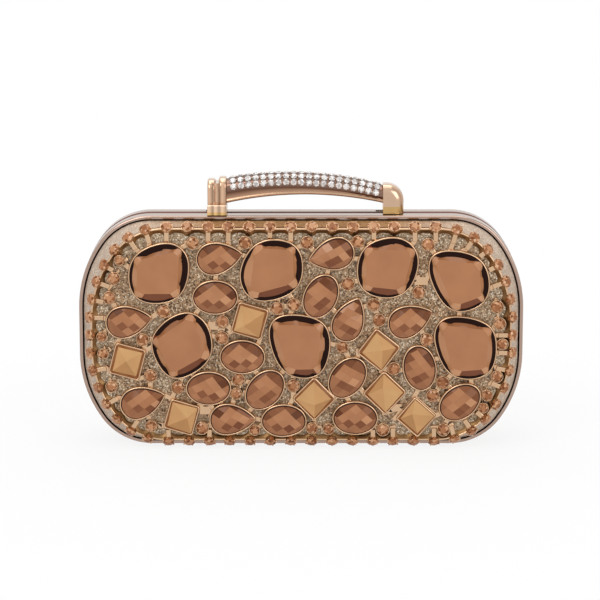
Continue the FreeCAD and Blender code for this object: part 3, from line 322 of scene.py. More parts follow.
fieldFlakes = (rgb(68, 46, 28), rgb(174, 140, 104), rgb(236, 216, 186))
lightFlakes = (rgb(110, 88, 64), rgb(178, 154, 124), rgb(236, 222, 200))
wallFlakes = (rgb(184, 163, 143), rgb(199, 178, 158), rgb(218, 201, 183))
brownFlakes = (rgb(158, 116, 74), rgb(176, 132, 86), rgb(198, 156, 112))
frontGlitter = glitterCloth("frontGlitter", 1900, fieldFlakes, lightFlakes, wallFlakes, brownFlakes)
backGlitter = glitterCloth("backGlitter", 2400, fieldFlakes, lightFlakes)


# lining, shells and stones

satinLook = {"threads": 500, "distortion": 0.6, "roughness": 0.45, "sheen": 0.3, "bump": (0.2, 0.05 * mm)}
boardLook = {"grain": 700, "darker": 0.7, "roughness": (0.3, 0.7, 0.5, 0.7), "bump": (0.3, 0.08 * mm)}
stoneLook = {
    "cloud": 90,
    "cloudTones": [(0.3, (0.88, 0.86, 0.84, 1)), (0.7, white)],
    "mirror": (0.04, 0.4, 0.02),            # light goes into the dark facets, so they mirror less
    "specular": 0.4,
    "coatRoughness": 0.03,
}


def threadGroup(look):
    # fine woven threads
    group, given = openGroup("wovenThreads", Threads=look["threads"], Light=white, Shade=white)
    inputs = {"Vector": objectPlace(group), "Scale": given["Threads"], "Distortion": look["distortion"]}
    waves = [addNode(group, "TexWave", inputs, bands_direction=way).outputs["Fac"] for way in "XZ"]
    weave = calculate(group, "MULTIPLY", *waves)
    return closeGroup(group, Colour=mixColours(group, weave, given["Shade"], given["Light"]), Height=weave)


threads = threadGroup(satinLook)


def satinLining(name, light, shade):
    material, tree, shader = newMaterial(name)
    inputs = {"Threads": satinLook["threads"], "Light": light, "Shade": shade}
    effect = addNode(tree, "Group", inputs, node_tree=threads).outputs
    feed(shader, {"Base Color": mixColours(tree, patchMask(tree), effect["Colour"], shade),
                  "Roughness": satinLook["roughness"], "Sheen Weight": satinLook["sheen"],
                  "Normal": bump(tree, effect["Height"], *satinLook["bump"])})
    return material


def scaled(tone, factor):
    return tuple(c * factor for c in tone[:3]) + (1,)


def mouldedBoard(name, colour):
    material, tree, shader = newMaterial(name)
    grain = noise(tree, boardLook["grain"])
    feed(shader, {"Base Color": mixColours(tree, grain, scaled(colour, boardLook["darker"]), colour),
                  "Roughness": mapRange(tree, grain, *boardLook["roughness"]),
                  "Normal": bump(tree, grain, *boardLook["bump"])})
    return material


def stoneFinish(name, roughness, coat):
    # facet colours come from the mesh, with a little cloud inside
    material, tree, shader = newMaterial(name)
    tone = facetTone(tree)
    shade = ramp(tree, noise(tree, stoneLook["cloud"]), stoneLook["cloudTones"])
    light = addNode(tree, "RGBToBW", {"Color": tone}).outputs["Val"]
    feed(shader, {"Base Color": mixColours(tree, 1, tone, shade, "MULTIPLY"), "Roughness": roughness,
                  "Specular IOR Level": mapRange(tree, light, *stoneLook["mirror"], stoneLook["specular"]),
                  "Coat Weight": mapRange(tree, light, *stoneLook["mirror"], coat),
                  "Coat Roughness": stoneLook["coatRoughness"]})
    return material


liningSatin = satinLining("liningSatin", rgb(196, 168, 142), rgb(150, 122, 98))
shellBoard = mouldedBoard("shellBoard", rgb(62, 54, 46))
amberStone = stoneFinish("amberStone", 0.12, 0.25)
clearStone = stoneFinish("clearStone", 0.08, 0.5)


def dress(mesh, material):
    mesh.materials.clear()
    mesh.materials.append(material)


for material, dressed in (
        (frameMetal, ("front_frame", "back_frame")),
        (cageMetal, ("border_cups",)),
        (springMetal, ("hinge_pin_left", "hinge_pin_right", "latch_bar", "latch_screws")),
        (springMetal, ("catch_springs", "catch_rivets")),
        (frontGlitter, ("front_cover",)),
        (backGlitter, ("back_cover",)),
        (liningSatin, ("front_lining", "back_lining")),
        (shellBoard, ("front_shell", "back_shell"))):
    for node in dressed:
        dress(nodes[node].data, material)
print("finishes made")


# loops and tones

def pairs(loop):
    return zip(loop, loop[1:] + loop[:1])


def near(values, i, wide):
    # values up to so many places from place i of a closed loop
    return [values[(i + k) % len(values)] for k in range(-wide, wide + 1)]


def softened(values, wide):
    return [sum(near(values, i, wide)) / (2 * wide + 1) for i in range(len(values))]


def middleOf(points):
    return sum(points, Vector()) / len(points)


def at(point, depth):
    return Vector((point.x, depth, point.z))


def clamped(value):
    return min(1, max(0, value))


def mixTone(a, b, t):
    return tuple(x + (y - x) * t for x, y in zip(a, b))


def smoothLoop(loop, steps):
    # closed Catmull-Rom through the corners
    points = []
    for i in range(len(loop)):
        a = loop[i - 1]
        b, c, d = near(loop, i + 1, 1)
        for s in range(steps):
            t = s / steps
            points.append(0.5 * (2 * b + (c - a) * t + (2 * a - 5 * b + 4 * c - d) * t * t
                                 + (3 * b - a - 3 * c + d) * t ** 3))
    return points


def inward(loop):
    # unit directions to the inside of a counter-clockwise loop in X and Z
    runs = [after - before for before, here, after in (near(loop, i, 1) for i in range(len(loop)))]
    return [Vector((-run.z, 0, run.x)).normalized() for run in runs]


def insetLoop(loop, amount):
    if not hasattr(amount, "__len__"):
        amount = [amount] * len(loop)
    return [p + way * a for p, way, a in zip(loop, inward(loop), amount)]


def circleLoop(spot, radius, steps):
    turns = [math.tau * i / steps for i in range(steps)]
    return [spot + radius * Vector((math.cos(turn), 0, math.sin(turn))) for turn in turns]


def resample(loop, step):
    # even points along a closed loop
    points = []
    for a, b in pairs(loop):
        parts = max(1, round((b - a).length / step))
        points += [a + (b - a) * k / parts for k in range(parts)]
    return points


def treeOf(points):
    tree = kdtree.KDTree(len(points))
    for i, point in enumerate(points):
        tree.insert(point, i)
    tree.balance()
    return tree


# places and outlines, read from the CAD solids

solidRead = {
    "wallLean": 0.5,        # a side wall's normal has less depth than this
    "fullWidth": 0.95,      # share of a stone's radius that counts as its full width
    "digits": 2,            # faces whose normals agree so far lie the same way
}


def openMesh(mesh, join=True):
    # editable copy
    bm = bmesh.new()
    bm.from_mesh(mesh)
    if join:
        bmesh.ops.remove_doubles(bm, verts=bm.verts, dist=weld)
    return bm


def saveMesh(bm, mesh):
    bm.to_mesh(mesh)
    bm.free()
    mesh.update()


def looseParts(bm):
    # points of each separate solid
    seen, parts = set(), []
    for start in bm.verts:
        if start in seen:
            continue
        seen.add(start)
        stack, part = [start], []
        while stack:
            vert = stack.pop()
            part.append(vert)
            for edge in vert.link_edges:
                other = edge.other_vert(vert)
                if other not in seen:
                    seen.add(other)
                    stack.append(other)
        parts.append(part)
    return parts


def isWall(face):
    # a side of a flat plate, not its front or back
    return abs(face.normal.y) < solidRead["wallLean"]


def footLoop(node):
    # outline of a stone at its plane nearest the back
    bm = openMesh(nodes[node].data)
    points = [v.co.copy() for v in looseParts(bm)[0]]
    bm.free()
    foot = max(p.y for p in points)
    ring = [p for p in points if abs(p.y - foot) < flush]
    middle = middleOf(ring)
    return sorted(ring, key=lambda p: math.atan2(p.z - middle.z, p.x - middle.x))


def gemSeats(node):
    # foot, axis, radius, girdle height and top height of each small round stone
    bm = openMesh(nodes[node].data)
    seats = []
    for part in looseParts(bm):
        points = [v.co.copy() for v in part]
        totals = {}             # area of the faces by direction, largest at the foot
        for face in {face for vert in part for face in vert.link_faces}:
            key = tuple(round(c, solidRead["digits"]) + 0.0 for c in face.normal)
            totals[key] = totals.get(key, Vector()) + face.normal * face.calc_area()
        axis = -max(totals.values(), key=lambda total: total.length).normalized()
        low = min(p.dot(axis) for p in points)
        ring = [p for p in points if p.dot(axis) < low + flush]
        spot = middleOf(ring)
        radius = max((p - spot).length for p in ring)
        full = radius * solidRead["fullWidth"]      # kept up to the girdle
        heights = [(p - spot).dot(axis) for p in points]
        wide = [h for p, h in zip(points, heights) if (p - spot - axis * h).length > full]
        seats.append((spot, axis, radius, max(wide), max(heights)))
    bm.free()
    return seats


def rimLoop(node):
    # outer edge of a flat plate at its plane nearest the back, counter-clockwise
    bm = openMesh(nodes[node].data)
    foot = max(v.co.y for v in bm.verts)
    nextTo = {}
    for edge in bm.edges:
        atFoot = all(abs(v.co.y - foot) < flush for v in edge.verts)
        if atFoot and any(isWall(face) for face in edge.link_faces):
            a, b = edge.verts
            nextTo.setdefault(a, []).append(b)
            nextTo.setdefault(b, []).append(a)
    loop = [max(nextTo, key=lambda v: v.co.x)]
    onward = nextTo[loop[0]]
    while onward:
        loop.append(onward[0])
        onward = [v for v in nextTo[loop[-1]] if v not in loop]
    points = [v.co.copy() for v in loop]
    bm.free()
    turn = sum(p.x * q.z - q.x * p.z for p, q in pairs(points))
    return points if turn > 0 else points[::-1]


# meshes with tones

def newMesh(name, shape, domain, *materials):
    mesh = bpy.data.meshes.new(name)
    mesh.from_pydata(shape.points, [], shape.faces)
    layer = mesh.color_attributes.new("facetTone", "FLOAT_COLOR", domain)
    for entry, tone in zip(layer.data, shape.tones):
        entry.color = tone
    for material in materials:
        mesh.materials.append(material)
    return mesh


class Facets:
    # a mesh of flat facets, each with its own tone; inside is a point behind all facets of one stone
    def __init__(self):
        self.points, self.faces, self.tones = [], [], []
        self.inside = Vector()

    def add(self, corners, tone):
        middle = middleOf(corners)
        normal = sum(((a - middle).cross(b - middle) for a, b in pairs(corners)), Vector())
        if normal.dot(middle - self.inside) < 0:
            corners = corners[::-1]
        start = len(self.points)
        self.points += [tuple(c) for c in corners]
        self.faces.append(tuple(range(start, len(self.points))))
        self.tones += [tone] * len(corners)

    def band(self, low, lowDepth, high, highDepth, tones):
        # a ring of facets between two loops, with a tone for each
        for i in range(len(low)):
            self.add([at(low[i - 1], lowDepth), at(low[i], lowDepth),
                      at(high[i], highDepth), at(high[i - 1], highDepth)], tones[i - 1])

    def build(self, name, material):
        mesh = newMesh(name, self, "CORNER", material)
        saveMesh(openMesh(mesh), mesh)
        return addObject(name, mesh)


beadShape = {"around": 7, "rows": 5, "open": 0.02}      # open: share of half a turn left out at each end


class Skin:
    # a smooth mesh of strips, with a material slot per strip and a tone per row
    def __init__(self):
        self.points, self.faces, self.slots, self.tones = [], [], [], []

    def strip(self, rows, closed=True, slots=None, tones=None):
        start, count = len(self.points), len(rows[0])
        for r, row in enumerate(rows):
            self.points += [tuple(p) for p in row]
            self.tones += [tones[r] if tones else white] * count
        for r in range(len(rows) - 1):
            for i in range(count if closed else count - 1):
                a, b = start + r * count + i, start + r * count + (i + 1) % count
                self.faces.append((a, a + count, b + count, b))
                self.slots.append(slots[r] if slots else 0)

    def sweep(self, loop, profile):
        # profile from the inside out: distance outwards from the loop, depth
        self.strip([[at(p, depth) for p in insetLoop(loop, -out)] for out, depth in profile])

    def bead(self, spot, radius, tone=white):
        rows, gap = beadShape["rows"], beadShape["open"]
        rings = []
        for r in range(rows):
            turn = math.pi * (gap + (1 - 2 * gap) * r / (rows - 1))
            middle = spot - Vector((0, radius * math.cos(turn), 0))
            rings.append(circleLoop(middle, radius * math.sin(turn), beadShape["around"]))
        self.strip(rings, tones=[tone] * rows)

    def build(self, name, *materials):
        mesh = newMesh(name, self, "POINT", *materials)
        for face, slot in zip(mesh.polygons, self.slots):
            face.material_index = slot
            face.use_smooth = True
        bm = openMesh(mesh, join=False)
        bmesh.ops.recalc_face_normals(bm, faces=bm.faces)
        saveMesh(bm, mesh)
        return addObject(name, mesh)


def place(piece, body, slot, *replaced):
    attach(piece, body)
    if replaced:
        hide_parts(*replaced)


def placeStone(facets, node):
    piece = facets.build(node.replace("_stone_", "StoneCut"), amberStone)
    place(piece, "front_half", node.rsplit("_", 1)[0], node)


def cutStones(cut, stones):
    # stones: kind, how many, start of their seeds
    for kind, count, seed in stones:
        for number in range(1, count + 1):
            cut("%s_stone_%d" % (kind, number), seed + number)


print("outline tools ready")


# outlines of the settings, a little fuller than the solids where the neighbours leave room

settingRoom = {
    "grow": 0.6 * mm,           # most that a stone grows
    "wall": 0.75 * mm,          # bezel wall, shared where two stones are close
    "squareCorner": 0.5 * mm,
    "cornerSteps": 5,
    "steps": 4,
    "around": 24,               # points round a small stone
    "soft": 5,                  # points averaged on each side
}


def roundSquare(corners, radius, steps):
    # straight sides with small round corners, corners in order
    loop = []
    for i in range(len(corners)):
        before, corner, after = near(corners, i, 1)
        start, end = (corner + (other - corner).normalized() * radius for other in (before, after))
        for k in range(steps + 1):
            t = k / steps
            loop.append(start * (1 - t) ** 2 + corner * 2 * t * (1 - t) + end * t ** 2)
    return loop


def settingOutlines(smallSeats):
    loops = {}
    for node in nodes:
        if node.startswith("square_stone_"):
            loops[node] = roundSquare(footLoop(node), settingRoom["squareCorner"], settingRoom["cornerSteps"])
        elif "_stone_" in node:
            loops[node] = smoothLoop(footLoop(node), settingRoom["steps"])
    depth = next(iter(loops.values()))[0].y
    for kind, seats in smallSeats.items():
        for i, (spot, axis, radius, girdle, top) in enumerate(seats):
            loops["%s_%d" % (kind, i)] = circleLoop(at(spot, depth), radius, settingRoom["around"])
    owners = [name for name, loop in loops.items() for point in loop]
    tree = treeOf([point for loop in loops.values() for point in loop])
    soft = settingRoom["soft"]
    grown = {}
    for name, loop in loops.items():
        room = []
        for point in loop:
            gap = tree.find(point, filter=lambda i: owners[i] != name)[2]
            room.append(min(settingRoom["grow"], max(0, (gap - settingRoom["wall"]) / 2)))
        if name.split("_")[0] in ("square", *smallSeats):
            room = [min(room)] * len(loop)
        else:
            room = softened([min(near(room, i, soft)) for i in range(len(loop))], soft)
        grown[name] = insetLoop(loop, [-r for r in room])
    return grown


chatonSeats = gemSeats("field_chatons")
borderSeats = gemSeats("border_chatons")
outlines = settingOutlines({"chaton": chatonSeats, "border": borderSeats})
print("outlines of", len(outlines), "settings")


# large flat stones: dark crescents at the girdle, bevels, one wide table; the crescents and the tones of
# bevels and corners are painted reflections and shade

stoneTones = {
    "tan": rgb(177, 121, 82),
    "tanLight": rgb(206, 150, 106),
    "tanDeep": rgb(152, 99, 66),
    "red": rgb(128, 78, 54),
    "dark": rgb(40, 24, 20),
    "ember": rgb(112, 44, 26),
    "brown": rgb(94, 54, 36),
}
largeCut = {
    "stones": [("large", 7, 0)],
    "girdle": 1.75 * mm,        # above the foot
    "rise": 0.4 * mm,
    "edge": 0.14 * mm,
    # widest dark band, bevel inside it, and the bevel's share of the way from tan to a tone
    "crescent": {"top": 2.5 * mm, "right": 2.5 * mm, "left": 1.7 * mm, "low": 1.4 * mm},
    "bevel": {"top": 0.8 * mm, "right": 1.3 * mm, "left": 1.4 * mm, "low": 2.9 * mm},
    # bevel tones by side are painted light and shade: darker on top, red at the bottom, lighter at left and
    # right
    "bevelTone": {"top": (0.6, "tanDeep"), "right": (0.25, "tanLight"), "left": (0.5, "tanLight"),
                  "low": (1, "red")},
    "cornerBevel": 1.5 * mm,
    "cornerShare": 0.13,        # ends of a side that belong to its corners
    # corners painted lighter, fully so where they lean upwards towards the light
    "cornerTone": (0.45, "tanLight"),
    "litTone": (1, "tanLight"),
    "litFrom": 0.2,             # upward lean of a lit corner
    "leastBevel": 0.4 * mm,
    "breaks": 2,                # steps in the inner edge of a crescent
    "breakPlace": (0.15, 0.85),
    "breakWidth": (0.72, 1.05),
    "widthDraw": (0.8, 1.1),
    "emberFrom": (0.8, 0.95),   # end of a top crescent with a painted red glow
    "swell": (2.1, -0.25),      # how fast crescent, bevel and rim change from the corners on
    "bevelSwell": 2,
    "rimSwell": 3,
    "bendSoft": 3,              # corners: points averaged, compared and kept apart, and least share of bend
    "bendNear": 7,
    "bendApart": 5,
    "bendShare": 0.45,
}


def stoneDepths(node):
    low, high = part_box(node)
    return low[1], high[1]      # front of the stone, foot of the stone


def findCorners(loop):
    spans = [b - a for a, b in pairs(loop)]
    bends = softened([spans[i - 1].angle(span) for i, span in enumerate(spans)], largeCut["bendSoft"])
    least, most = min(bends), max(bends)
    corners = []
    for i, bend in enumerate(bends):
        peak = bend >= max(near(bends, i, largeCut["bendNear"]))
        sharp = (bend - least) / (most - least) > largeCut["bendShare"]
        if peak and sharp and (not corners or i - corners[-1] > largeCut["bendApart"]):
            corners.append(i)
    return corners


def sideKind(way):
    # where a side lies on the stone, from its inward direction
    if abs(way.z) > abs(way.x):
        return "low" if way.z > 0 else "top"
    return "left" if way.x > 0 else "right"


def straightTable(outline, ways, widths, bevels, sides):
    # edges of the table run straight between the corner facets, clear of the crescents
    count = len(outline)
    table = insetLoop(outline, [w + b for w, b in zip(widths, bevels)])
    ends = []
    for start, end in sides:
        short = round((end - start) * largeCut["cornerShare"])
        ends.append((start + short, end - short))
    for a, b in ends:
        places = [k % count for k in range(a, b + 1)]
        run = [table[a % count].lerp(table[b % count], n / (b - a)) for n in range(b - a + 1)]
        lack = max(widths[i] + largeCut["leastBevel"] - (p - outline[i]).dot(ways[i])
                   for i, p in zip(places, run))
        shift = ways[(a + b) // 2 % count] * max(0, lack)
        for i, p in zip(places, run):
            table[i] = p + shift
    for (first, a), (b, last) in zip(ends, ends[1:] + [(ends[0][0] + count, 0)]):
        for k in range(a + 1, b):
            table[k % count] = table[a % count].lerp(table[b % count], (k - a) / (b - a))
    return table


def largeStone(node, seed):
    choose = random.Random(seed)
    front, foot = stoneDepths(node)
    outline = outlines[node]
    count = len(outline)
    ways = inward(outline)
    corners = findCorners(outline)
    sides = list(zip(corners, corners[1:] + [corners[0] + count]))
    widths, bevels, rims, tones = ([None] * count for _ in range(4))
    gain, shift = largeCut["swell"]
    for start, end in sides:
        kind = sideKind(ways[(start + end) // 2 % count])
        most = largeCut["crescent"][kind] * choose.uniform(*largeCut["widthDraw"])
        breaks = sorted(choose.uniform(*largeCut["breakPlace"]) for _ in range(largeCut["breaks"]))
        steps = [choose.uniform(*largeCut["breakWidth"]) for _ in range(largeCut["breaks"] + 1)]
        ember = choose.uniform(*largeCut["emberFrom"]) if kind == "top" else 1
        more = largeCut["bevel"][kind] - largeCut["cornerBevel"]
        for k in range(start, end):
            i, t = k % count, (k - start) / (end - start)
            swell = math.sin(math.pi * t)
            step = steps[sum(t > b for b in breaks)]
            widths[i] = largeCut["edge"] + most * step * clamped(swell * gain + shift)
            bevels[i] = largeCut["cornerBevel"] + more * min(1, swell * largeCut["bevelSwell"])
            # painted dark reflections: brown near the corners and dark in the middle of each crescent, with a
            # painted red glow at one end of the top one
            rims[i] = mixTone(stoneTones["brown"], stoneTones["dark"], min(1, swell * largeCut["rimSwell"]))
            if t > ember:
                rims[i] = stoneTones["ember"]
            # painted light and shade of the bevels by side, with lighter corners
            share, tone = largeCut["bevelTone"][kind]
            if min(t, 1 - t) < largeCut["cornerShare"]:
                share, tone = largeCut["litTone" if ways[i].z > largeCut["litFrom"] else "cornerTone"]
            tones[i] = mixTone(stoneTones["tan"], stoneTones[tone], share)
    ring = insetLoop(outline, widths)
    table = straightTable(outline, ways, widths, bevels, sides)
    girdle = foot - largeCut["girdle"]
    ringDepth = girdle - largeCut["rise"]
    facets = Facets()
    facets.inside = at(middleOf(outline), foot)
    facets.band(outline, girdle, outline, foot, [stoneTones["brown"]] * count)
    facets.band(outline, girdle, ring, ringDepth, rims)
    facets.band(ring, ringDepth, table, front, tones)
    facets.add([at(p, front) for p in table], stoneTones["tan"])
    placeStone(facets, node)


cutStones(largeStone, largeCut["stones"])
print("large stones cut")


# oval and pear stones: a low dome cut in diamonds, dark along the upper edge and low in the middle, with
# painted highlights low on the right; these tones are painted reflections and shade

checkerCut = {
    "stones": [("oval", 10, 40), ("pear", 7, 70)],
    "cell": (2.7 * mm, 2.2 * mm),       # half a diamond, across and up
    "reach": 9,                         # diamonds on each side of the middle, more than a stone needs
    "shift": 0.4,                       # most that they are off the middle, share of a half
    "lean": 14,                         # most that they lean, degrees
    "girdle": 1.85 * mm,                # above the foot
    "edge": 0.5 * mm,
    "edgeRise": 0.35 * mm,
    "edgeShade": (0.3, 0.7),            # dark to brown: share at the top, and more at the bottom
    "domePower": 2.2,
    "spots": [(-0.16, -0.42), (0.2, -0.34)],
    "rimFrom": 0.72,                    # shares of half a stone where the zones start
    "upperFrom": 0.15,
    "brightFrom": (0.2, 0.1),
    # painted reflections and shade: dark spots low in the middle, a darker upper rim, a redder lower rim, and
    # bright painted highlights low on the right
    "zones": {                          # two tones and the share between them
        "plain": ("tan", "tanLight", (-0.15, 0.25)),
        "spot": ("red", "tanDeep", (0, 0.6)),
        "upper": ("brown", "tanDeep", (0.1, 0.9)),
        "lower": ("tan", "red", (0, 0.55)),
        "bright": ("tan", "tanLight", (0.4, 0.95)),
    },
}


def leftOf(a, b, p):
    # above 0 where p lies to the left of the line from a to b, in X and Z
    return (b.x - a.x) * (p.z - a.z) - (b.z - a.z) * (p.x - a.x)


def hullLoop(loop):
    # convex hull, counter-clockwise in X and Z
    points = sorted(loop, key=lambda p: (p.x, p.z))
    hull = []
    for run in (points, points[::-1]):
        half = []
        for p in run:
            while len(half) > 1 and leftOf(half[-2], half[-1], p) <= 0:
                half.pop()
            half.append(p)
        hull += half[:-1]
    return hull


def clipCell(cell, outline):
    # part of a cell inside a convex counter-clockwise outline
    for i in range(len(outline)):
        sides = [leftOf(outline[i - 1], outline[i], p) for p in cell]
        kept = []
        for j in range(len(cell)):
            p, q, sp, sq = cell[j - 1], cell[j], sides[j - 1], sides[j]
            if (sp >= 0) != (sq >= 0):
                kept.append(p + (q - p) * (sp / (sp - sq)))
            if sq >= 0:
                kept.append(q)
        cell = kept
        if len(cell) < 3:
            return []
    return cell


def diamondCells(middle, edge, choose):
    # leaning diamonds, cut off at the edge
    lean = math.radians(choose.uniform(-checkerCut["lean"], checkerCut["lean"]))
    along = Vector((math.cos(lean), 0, math.sin(lean))) * checkerCut["cell"][0]
    up = Vector((-math.sin(lean), 0, math.cos(lean))) * checkerCut["cell"][1]
    shiftX, shiftZ = (choose.uniform(-checkerCut["shift"], checkerCut["shift"]) for _ in range(2))
    places = range(-checkerCut["reach"], checkerCut["reach"] + 1)
    cells = []
    for row in places:
        for column in places:
            if (row + column) % 2 == 0:
                corners = [middle + along * (column + dx + shiftX) + up * (row + dz + shiftZ)
                           for dx, dz in ((1, 0), (0, 1), (-1, 0), (0, -1))]
                cells.append(clipCell(corners, edge))
    return [cell for cell in cells if cell]


def checkerStone(node, seed):
    choose = random.Random(seed)
    front, foot = stoneDepths(node)
    outline = outlines[node]
    inner = insetLoop(outline, checkerCut["edge"])
    edge = hullLoop(inner)
    edgeWays = inward(edge)
    middle = middleOf(inner)
    girdle = foot - checkerCut["girdle"]
    start = girdle - checkerCut["edgeRise"]

    def dome(p):
        share = max(w.dot(middle - p) / w.dot(middle - o) for w, o in zip(edgeWays, edge))
        return at(p, start + (front - start) * (1 - min(1, share) ** checkerCut["domePower"]))

    def zoneTone(zone):
        low, high, share = checkerCut["zones"][zone]
        return mixTone(stoneTones[low], stoneTones[high], choose.uniform(*share))

    facets = Facets()
    facets.inside = at(middle, foot)
    # painted shade along the edge: dark at the top, browner at the bottom
    least, more = checkerCut["edgeShade"]
    shades = [mixTone(stoneTones["dark"], stoneTones["brown"], least + more * max(0, way.z))
              for way in inward(inner)]
    facets.band(outline, girdle, outline, foot, shades)
    facets.band(outline, girdle, inner, start, shades)
    cells = diamondCells(middle, edge, choose)
    halfX = max(abs(p.x - middle.x) for p in inner)
    halfZ = max(abs(p.z - middle.z) for p in inner)
    shares = [(v.x / halfX, v.z / halfZ) for v in (middleOf(cell) - middle for cell in cells)]
    dark = [min(shares, key=lambda share: math.dist(share, spot)) for spot in checkerCut["spots"]]
    # painted reflections and shade in the diamonds' tones
    for cell, (x, z) in zip(cells, shares):
        tone = zoneTone("plain")
        if (x, z) in dark:
            tone = zoneTone("spot")
        elif math.hypot(x, z) > checkerCut["rimFrom"]:
            tone = zoneTone("upper" if z > checkerCut["upperFrom"] else "lower")
        elif x > checkerCut["brightFrom"][0] and z < checkerCut["brightFrom"][1]:
            tone = zoneTone("bright")
        facets.add([dome(p) for p in cell], tone)
    placeStone(facets, node)


cutStones(checkerStone, checkerCut["stones"])
print("oval and pear stones cut")


# square stones: four-sided points off the middle, with thin dark edges; the facet tones and the dark edges
# are painted reflections and shade

squareCut = {
    "stones": [("square", 7, 90)],
    # facet tones, lighter and darker in turn round the point: painted reflections
    "light": rgb(209, 162, 105),
    "main": rgb(204, 154, 98),
    "deep": rgb(180, 130, 78),
    "edge": rgb(132, 76, 38),
    "order": ("light", "main", "deep", "main"),
    "toMain": 0.25,             # share of the way from a facet's tone to the main one
    "edgeShade": (0.15, 3),     # step from the edge's tone to the deep one, tones that repeat
    "draw": (0.01, 0.15),       # share of the way from a corner to the middle
    "girdle": 1.75 * mm,        # above the foot
    "edgeRise": 0.45 * mm,
    "height": 0.55,             # share of the solid's height
    "offset": 0.35,             # point off the middle, share of half a side
}


def squareStone(node, seed):
    choose = random.Random(seed)
    front, foot = stoneDepths(node)
    side = settingRoom["cornerSteps"] + 1
    start = side // 2
    outline = outlines[node][start:] + outlines[node][:start]       # from the middle of a corner
    count = len(outline)
    middle = middleOf(outline)
    half = max((p - middle).length for p in outline)
    girdle = foot - squareCut["girdle"]
    ringDepth = girdle - squareCut["edgeRise"]
    tip = middle + Vector((choose.uniform(-1, 1), 0, choose.uniform(-1, 1))) * half * squareCut["offset"]
    tip = at(tip, ringDepth + (front - ringDepth) * squareCut["height"])
    order = squareCut["order"]
    first = choose.randrange(len(order))
    # corners of the top, each drawn in by its own amount, leave dark slivers along the edges, as painted dark
    # reflections
    tops = [turn.lerp(middle, choose.uniform(*squareCut["draw"])) for turn in outline[::side]]
    ring = [a.lerp(b, k / side) for a, b in pairs(tops) for k in range(side)]
    shade, shades = squareCut["edgeShade"]
    slivers = [mixTone(squareCut["edge"], squareCut["deep"], shade * (i % side % shades))
               for i in range(count)]
    facets = Facets()
    facets.inside = at(middle, foot)
    facets.band(outline, girdle, outline, foot, [squareCut["edge"]] * count)
    facets.band(outline, girdle, ring, ringDepth, slivers)
    for i, (a, b) in enumerate(pairs(tops)):
        tone = squareCut[order[(i + first) % len(order)]]
        facets.add([at(a, ringDepth), at(b, ringDepth), tip],
                   mixTone(tone, squareCut["main"], squareCut["toMain"]))
    placeStone(facets, node)


cutStones(squareStone, squareCut["stones"])
print("square stones cut")


# bezels: thin rounded walls round each large, oval, pear and square stone

bezelWall = {
    "profile": [(0.02, 2.0), (0.02, 0.5), (-0.05, 0.22), (0.0, 0.07), (0.15, 0.0), (0.34, 0.03), (0.52, 0.18),
                (0.66, 0.5), (0.75, 1.1), (0.75, 2.0)],     # mm outwards from the stone, mm below the crest
}


def makeBezels():
    skin = Skin()
    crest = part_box("stone_bezels")[0][1]
    profile = [(out * mm, crest + below * mm) for out, below in bezelWall["profile"]]
    for node, loop in outlines.items():
        if "_stone_" in node:
            skin.sweep(loop, profile)
    place(skin.build("stoneBezels", cageMetal), "front_half", "cage_metal", "stone_bezels")


makeBezels()
print("bezels swept")


# openwork under the stones, its bars rounded, and the short bars that run out to the border stones

cageCut = {
    "round": 0.4 * mm,
    "roundFrom": math.radians(50),      # edges flatter than this stay
    "roundProfile": 0.6,
    "roundSteps": 2,
    "wide": 0.35 * mm,                  # each side of a bar
    "sameWay": 0.98,                    # walls that face alike count once
    "leastTurn": 0.5,                   # keeps sharp corners from running out
    "spokeRound": 0.3 * mm,
    "spokeReach": 2.2 * mm,             # out to the foot of a border cup
    "spokeWide": 1.8,
}
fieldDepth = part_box("border_rail")[1][1]
borderTree = treeOf([at(seat[0], 0) for seat in borderSeats])


def softCopy(node, name, rounding, change):
    # changed copy of a CAD mesh with its front edges rounded
    bm = openMesh(nodes[node].data)
    change(bm)
    front = min(v.co.y for v in bm.verts)
    edges = [e for e in bm.edges if all(abs(v.co.y - front) < flush for v in e.verts)
             and len(e.link_faces) == 2 and e.calc_face_angle() > cageCut["roundFrom"]]
    bmesh.ops.bevel(bm, geom=edges, offset=rounding, segments=cageCut["roundSteps"],
                    profile=cageCut["roundProfile"], affect="EDGES", clamp_overlap=False)
    mesh = bpy.data.meshes.new(name)
    saveMesh(bm, mesh)
    mesh.materials.append(cageMetal)
    place(addObject(name, mesh), "front_half", "cage_metal", node)


def widen(bm):
    # side walls move outwards, so the bars grow wider
    moves = []
    for vert in bm.verts:
        walls = []
        for face in vert.link_faces:
            if isWall(face) and all(face.normal.dot(other) < cageCut["sameWay"] for other in walls):
                walls.append(face.normal.copy())
        if walls:
            total = sum(walls, Vector())
            spread = max(cageCut["leastTurn"], total.length_squared)
            moves.append((vert, total * (cageCut["wide"] * len(walls) / spread)))
    for vert, move in moves:
        vert.co += move


def reachOut(bm):
    # short bars grow wider and out to the cups, their feet down to the field
    back = max(v.co.y for v in bm.verts)
    for spoke in looseParts(bm):
        middle = middleOf([v.co for v in spoke])
        out = (borderTree.find(at(middle, 0))[0] - at(middle, 0)).normalized()
        across = Vector((-out.z, 0, out.x))
        for vert in spoke:
            vert.co += across * (vert.co - middle).dot(across) * (cageCut["spokeWide"] - 1)
            if (vert.co - middle).dot(out) > 0:
                vert.co += out * cageCut["spokeReach"]
            if abs(vert.co.y - back) < flush:
                vert.co.y = fieldDepth


softCopy("jewel_cage", "openworkBars", cageCut["round"], widen)
softCopy("border_spokes", "railSpokes", cageCut["spokeRound"], reachOut)
print("openwork rounded")


# rail: a bright ridge along the rim, and a slope in bays down to the field, darkened brown as painted shade

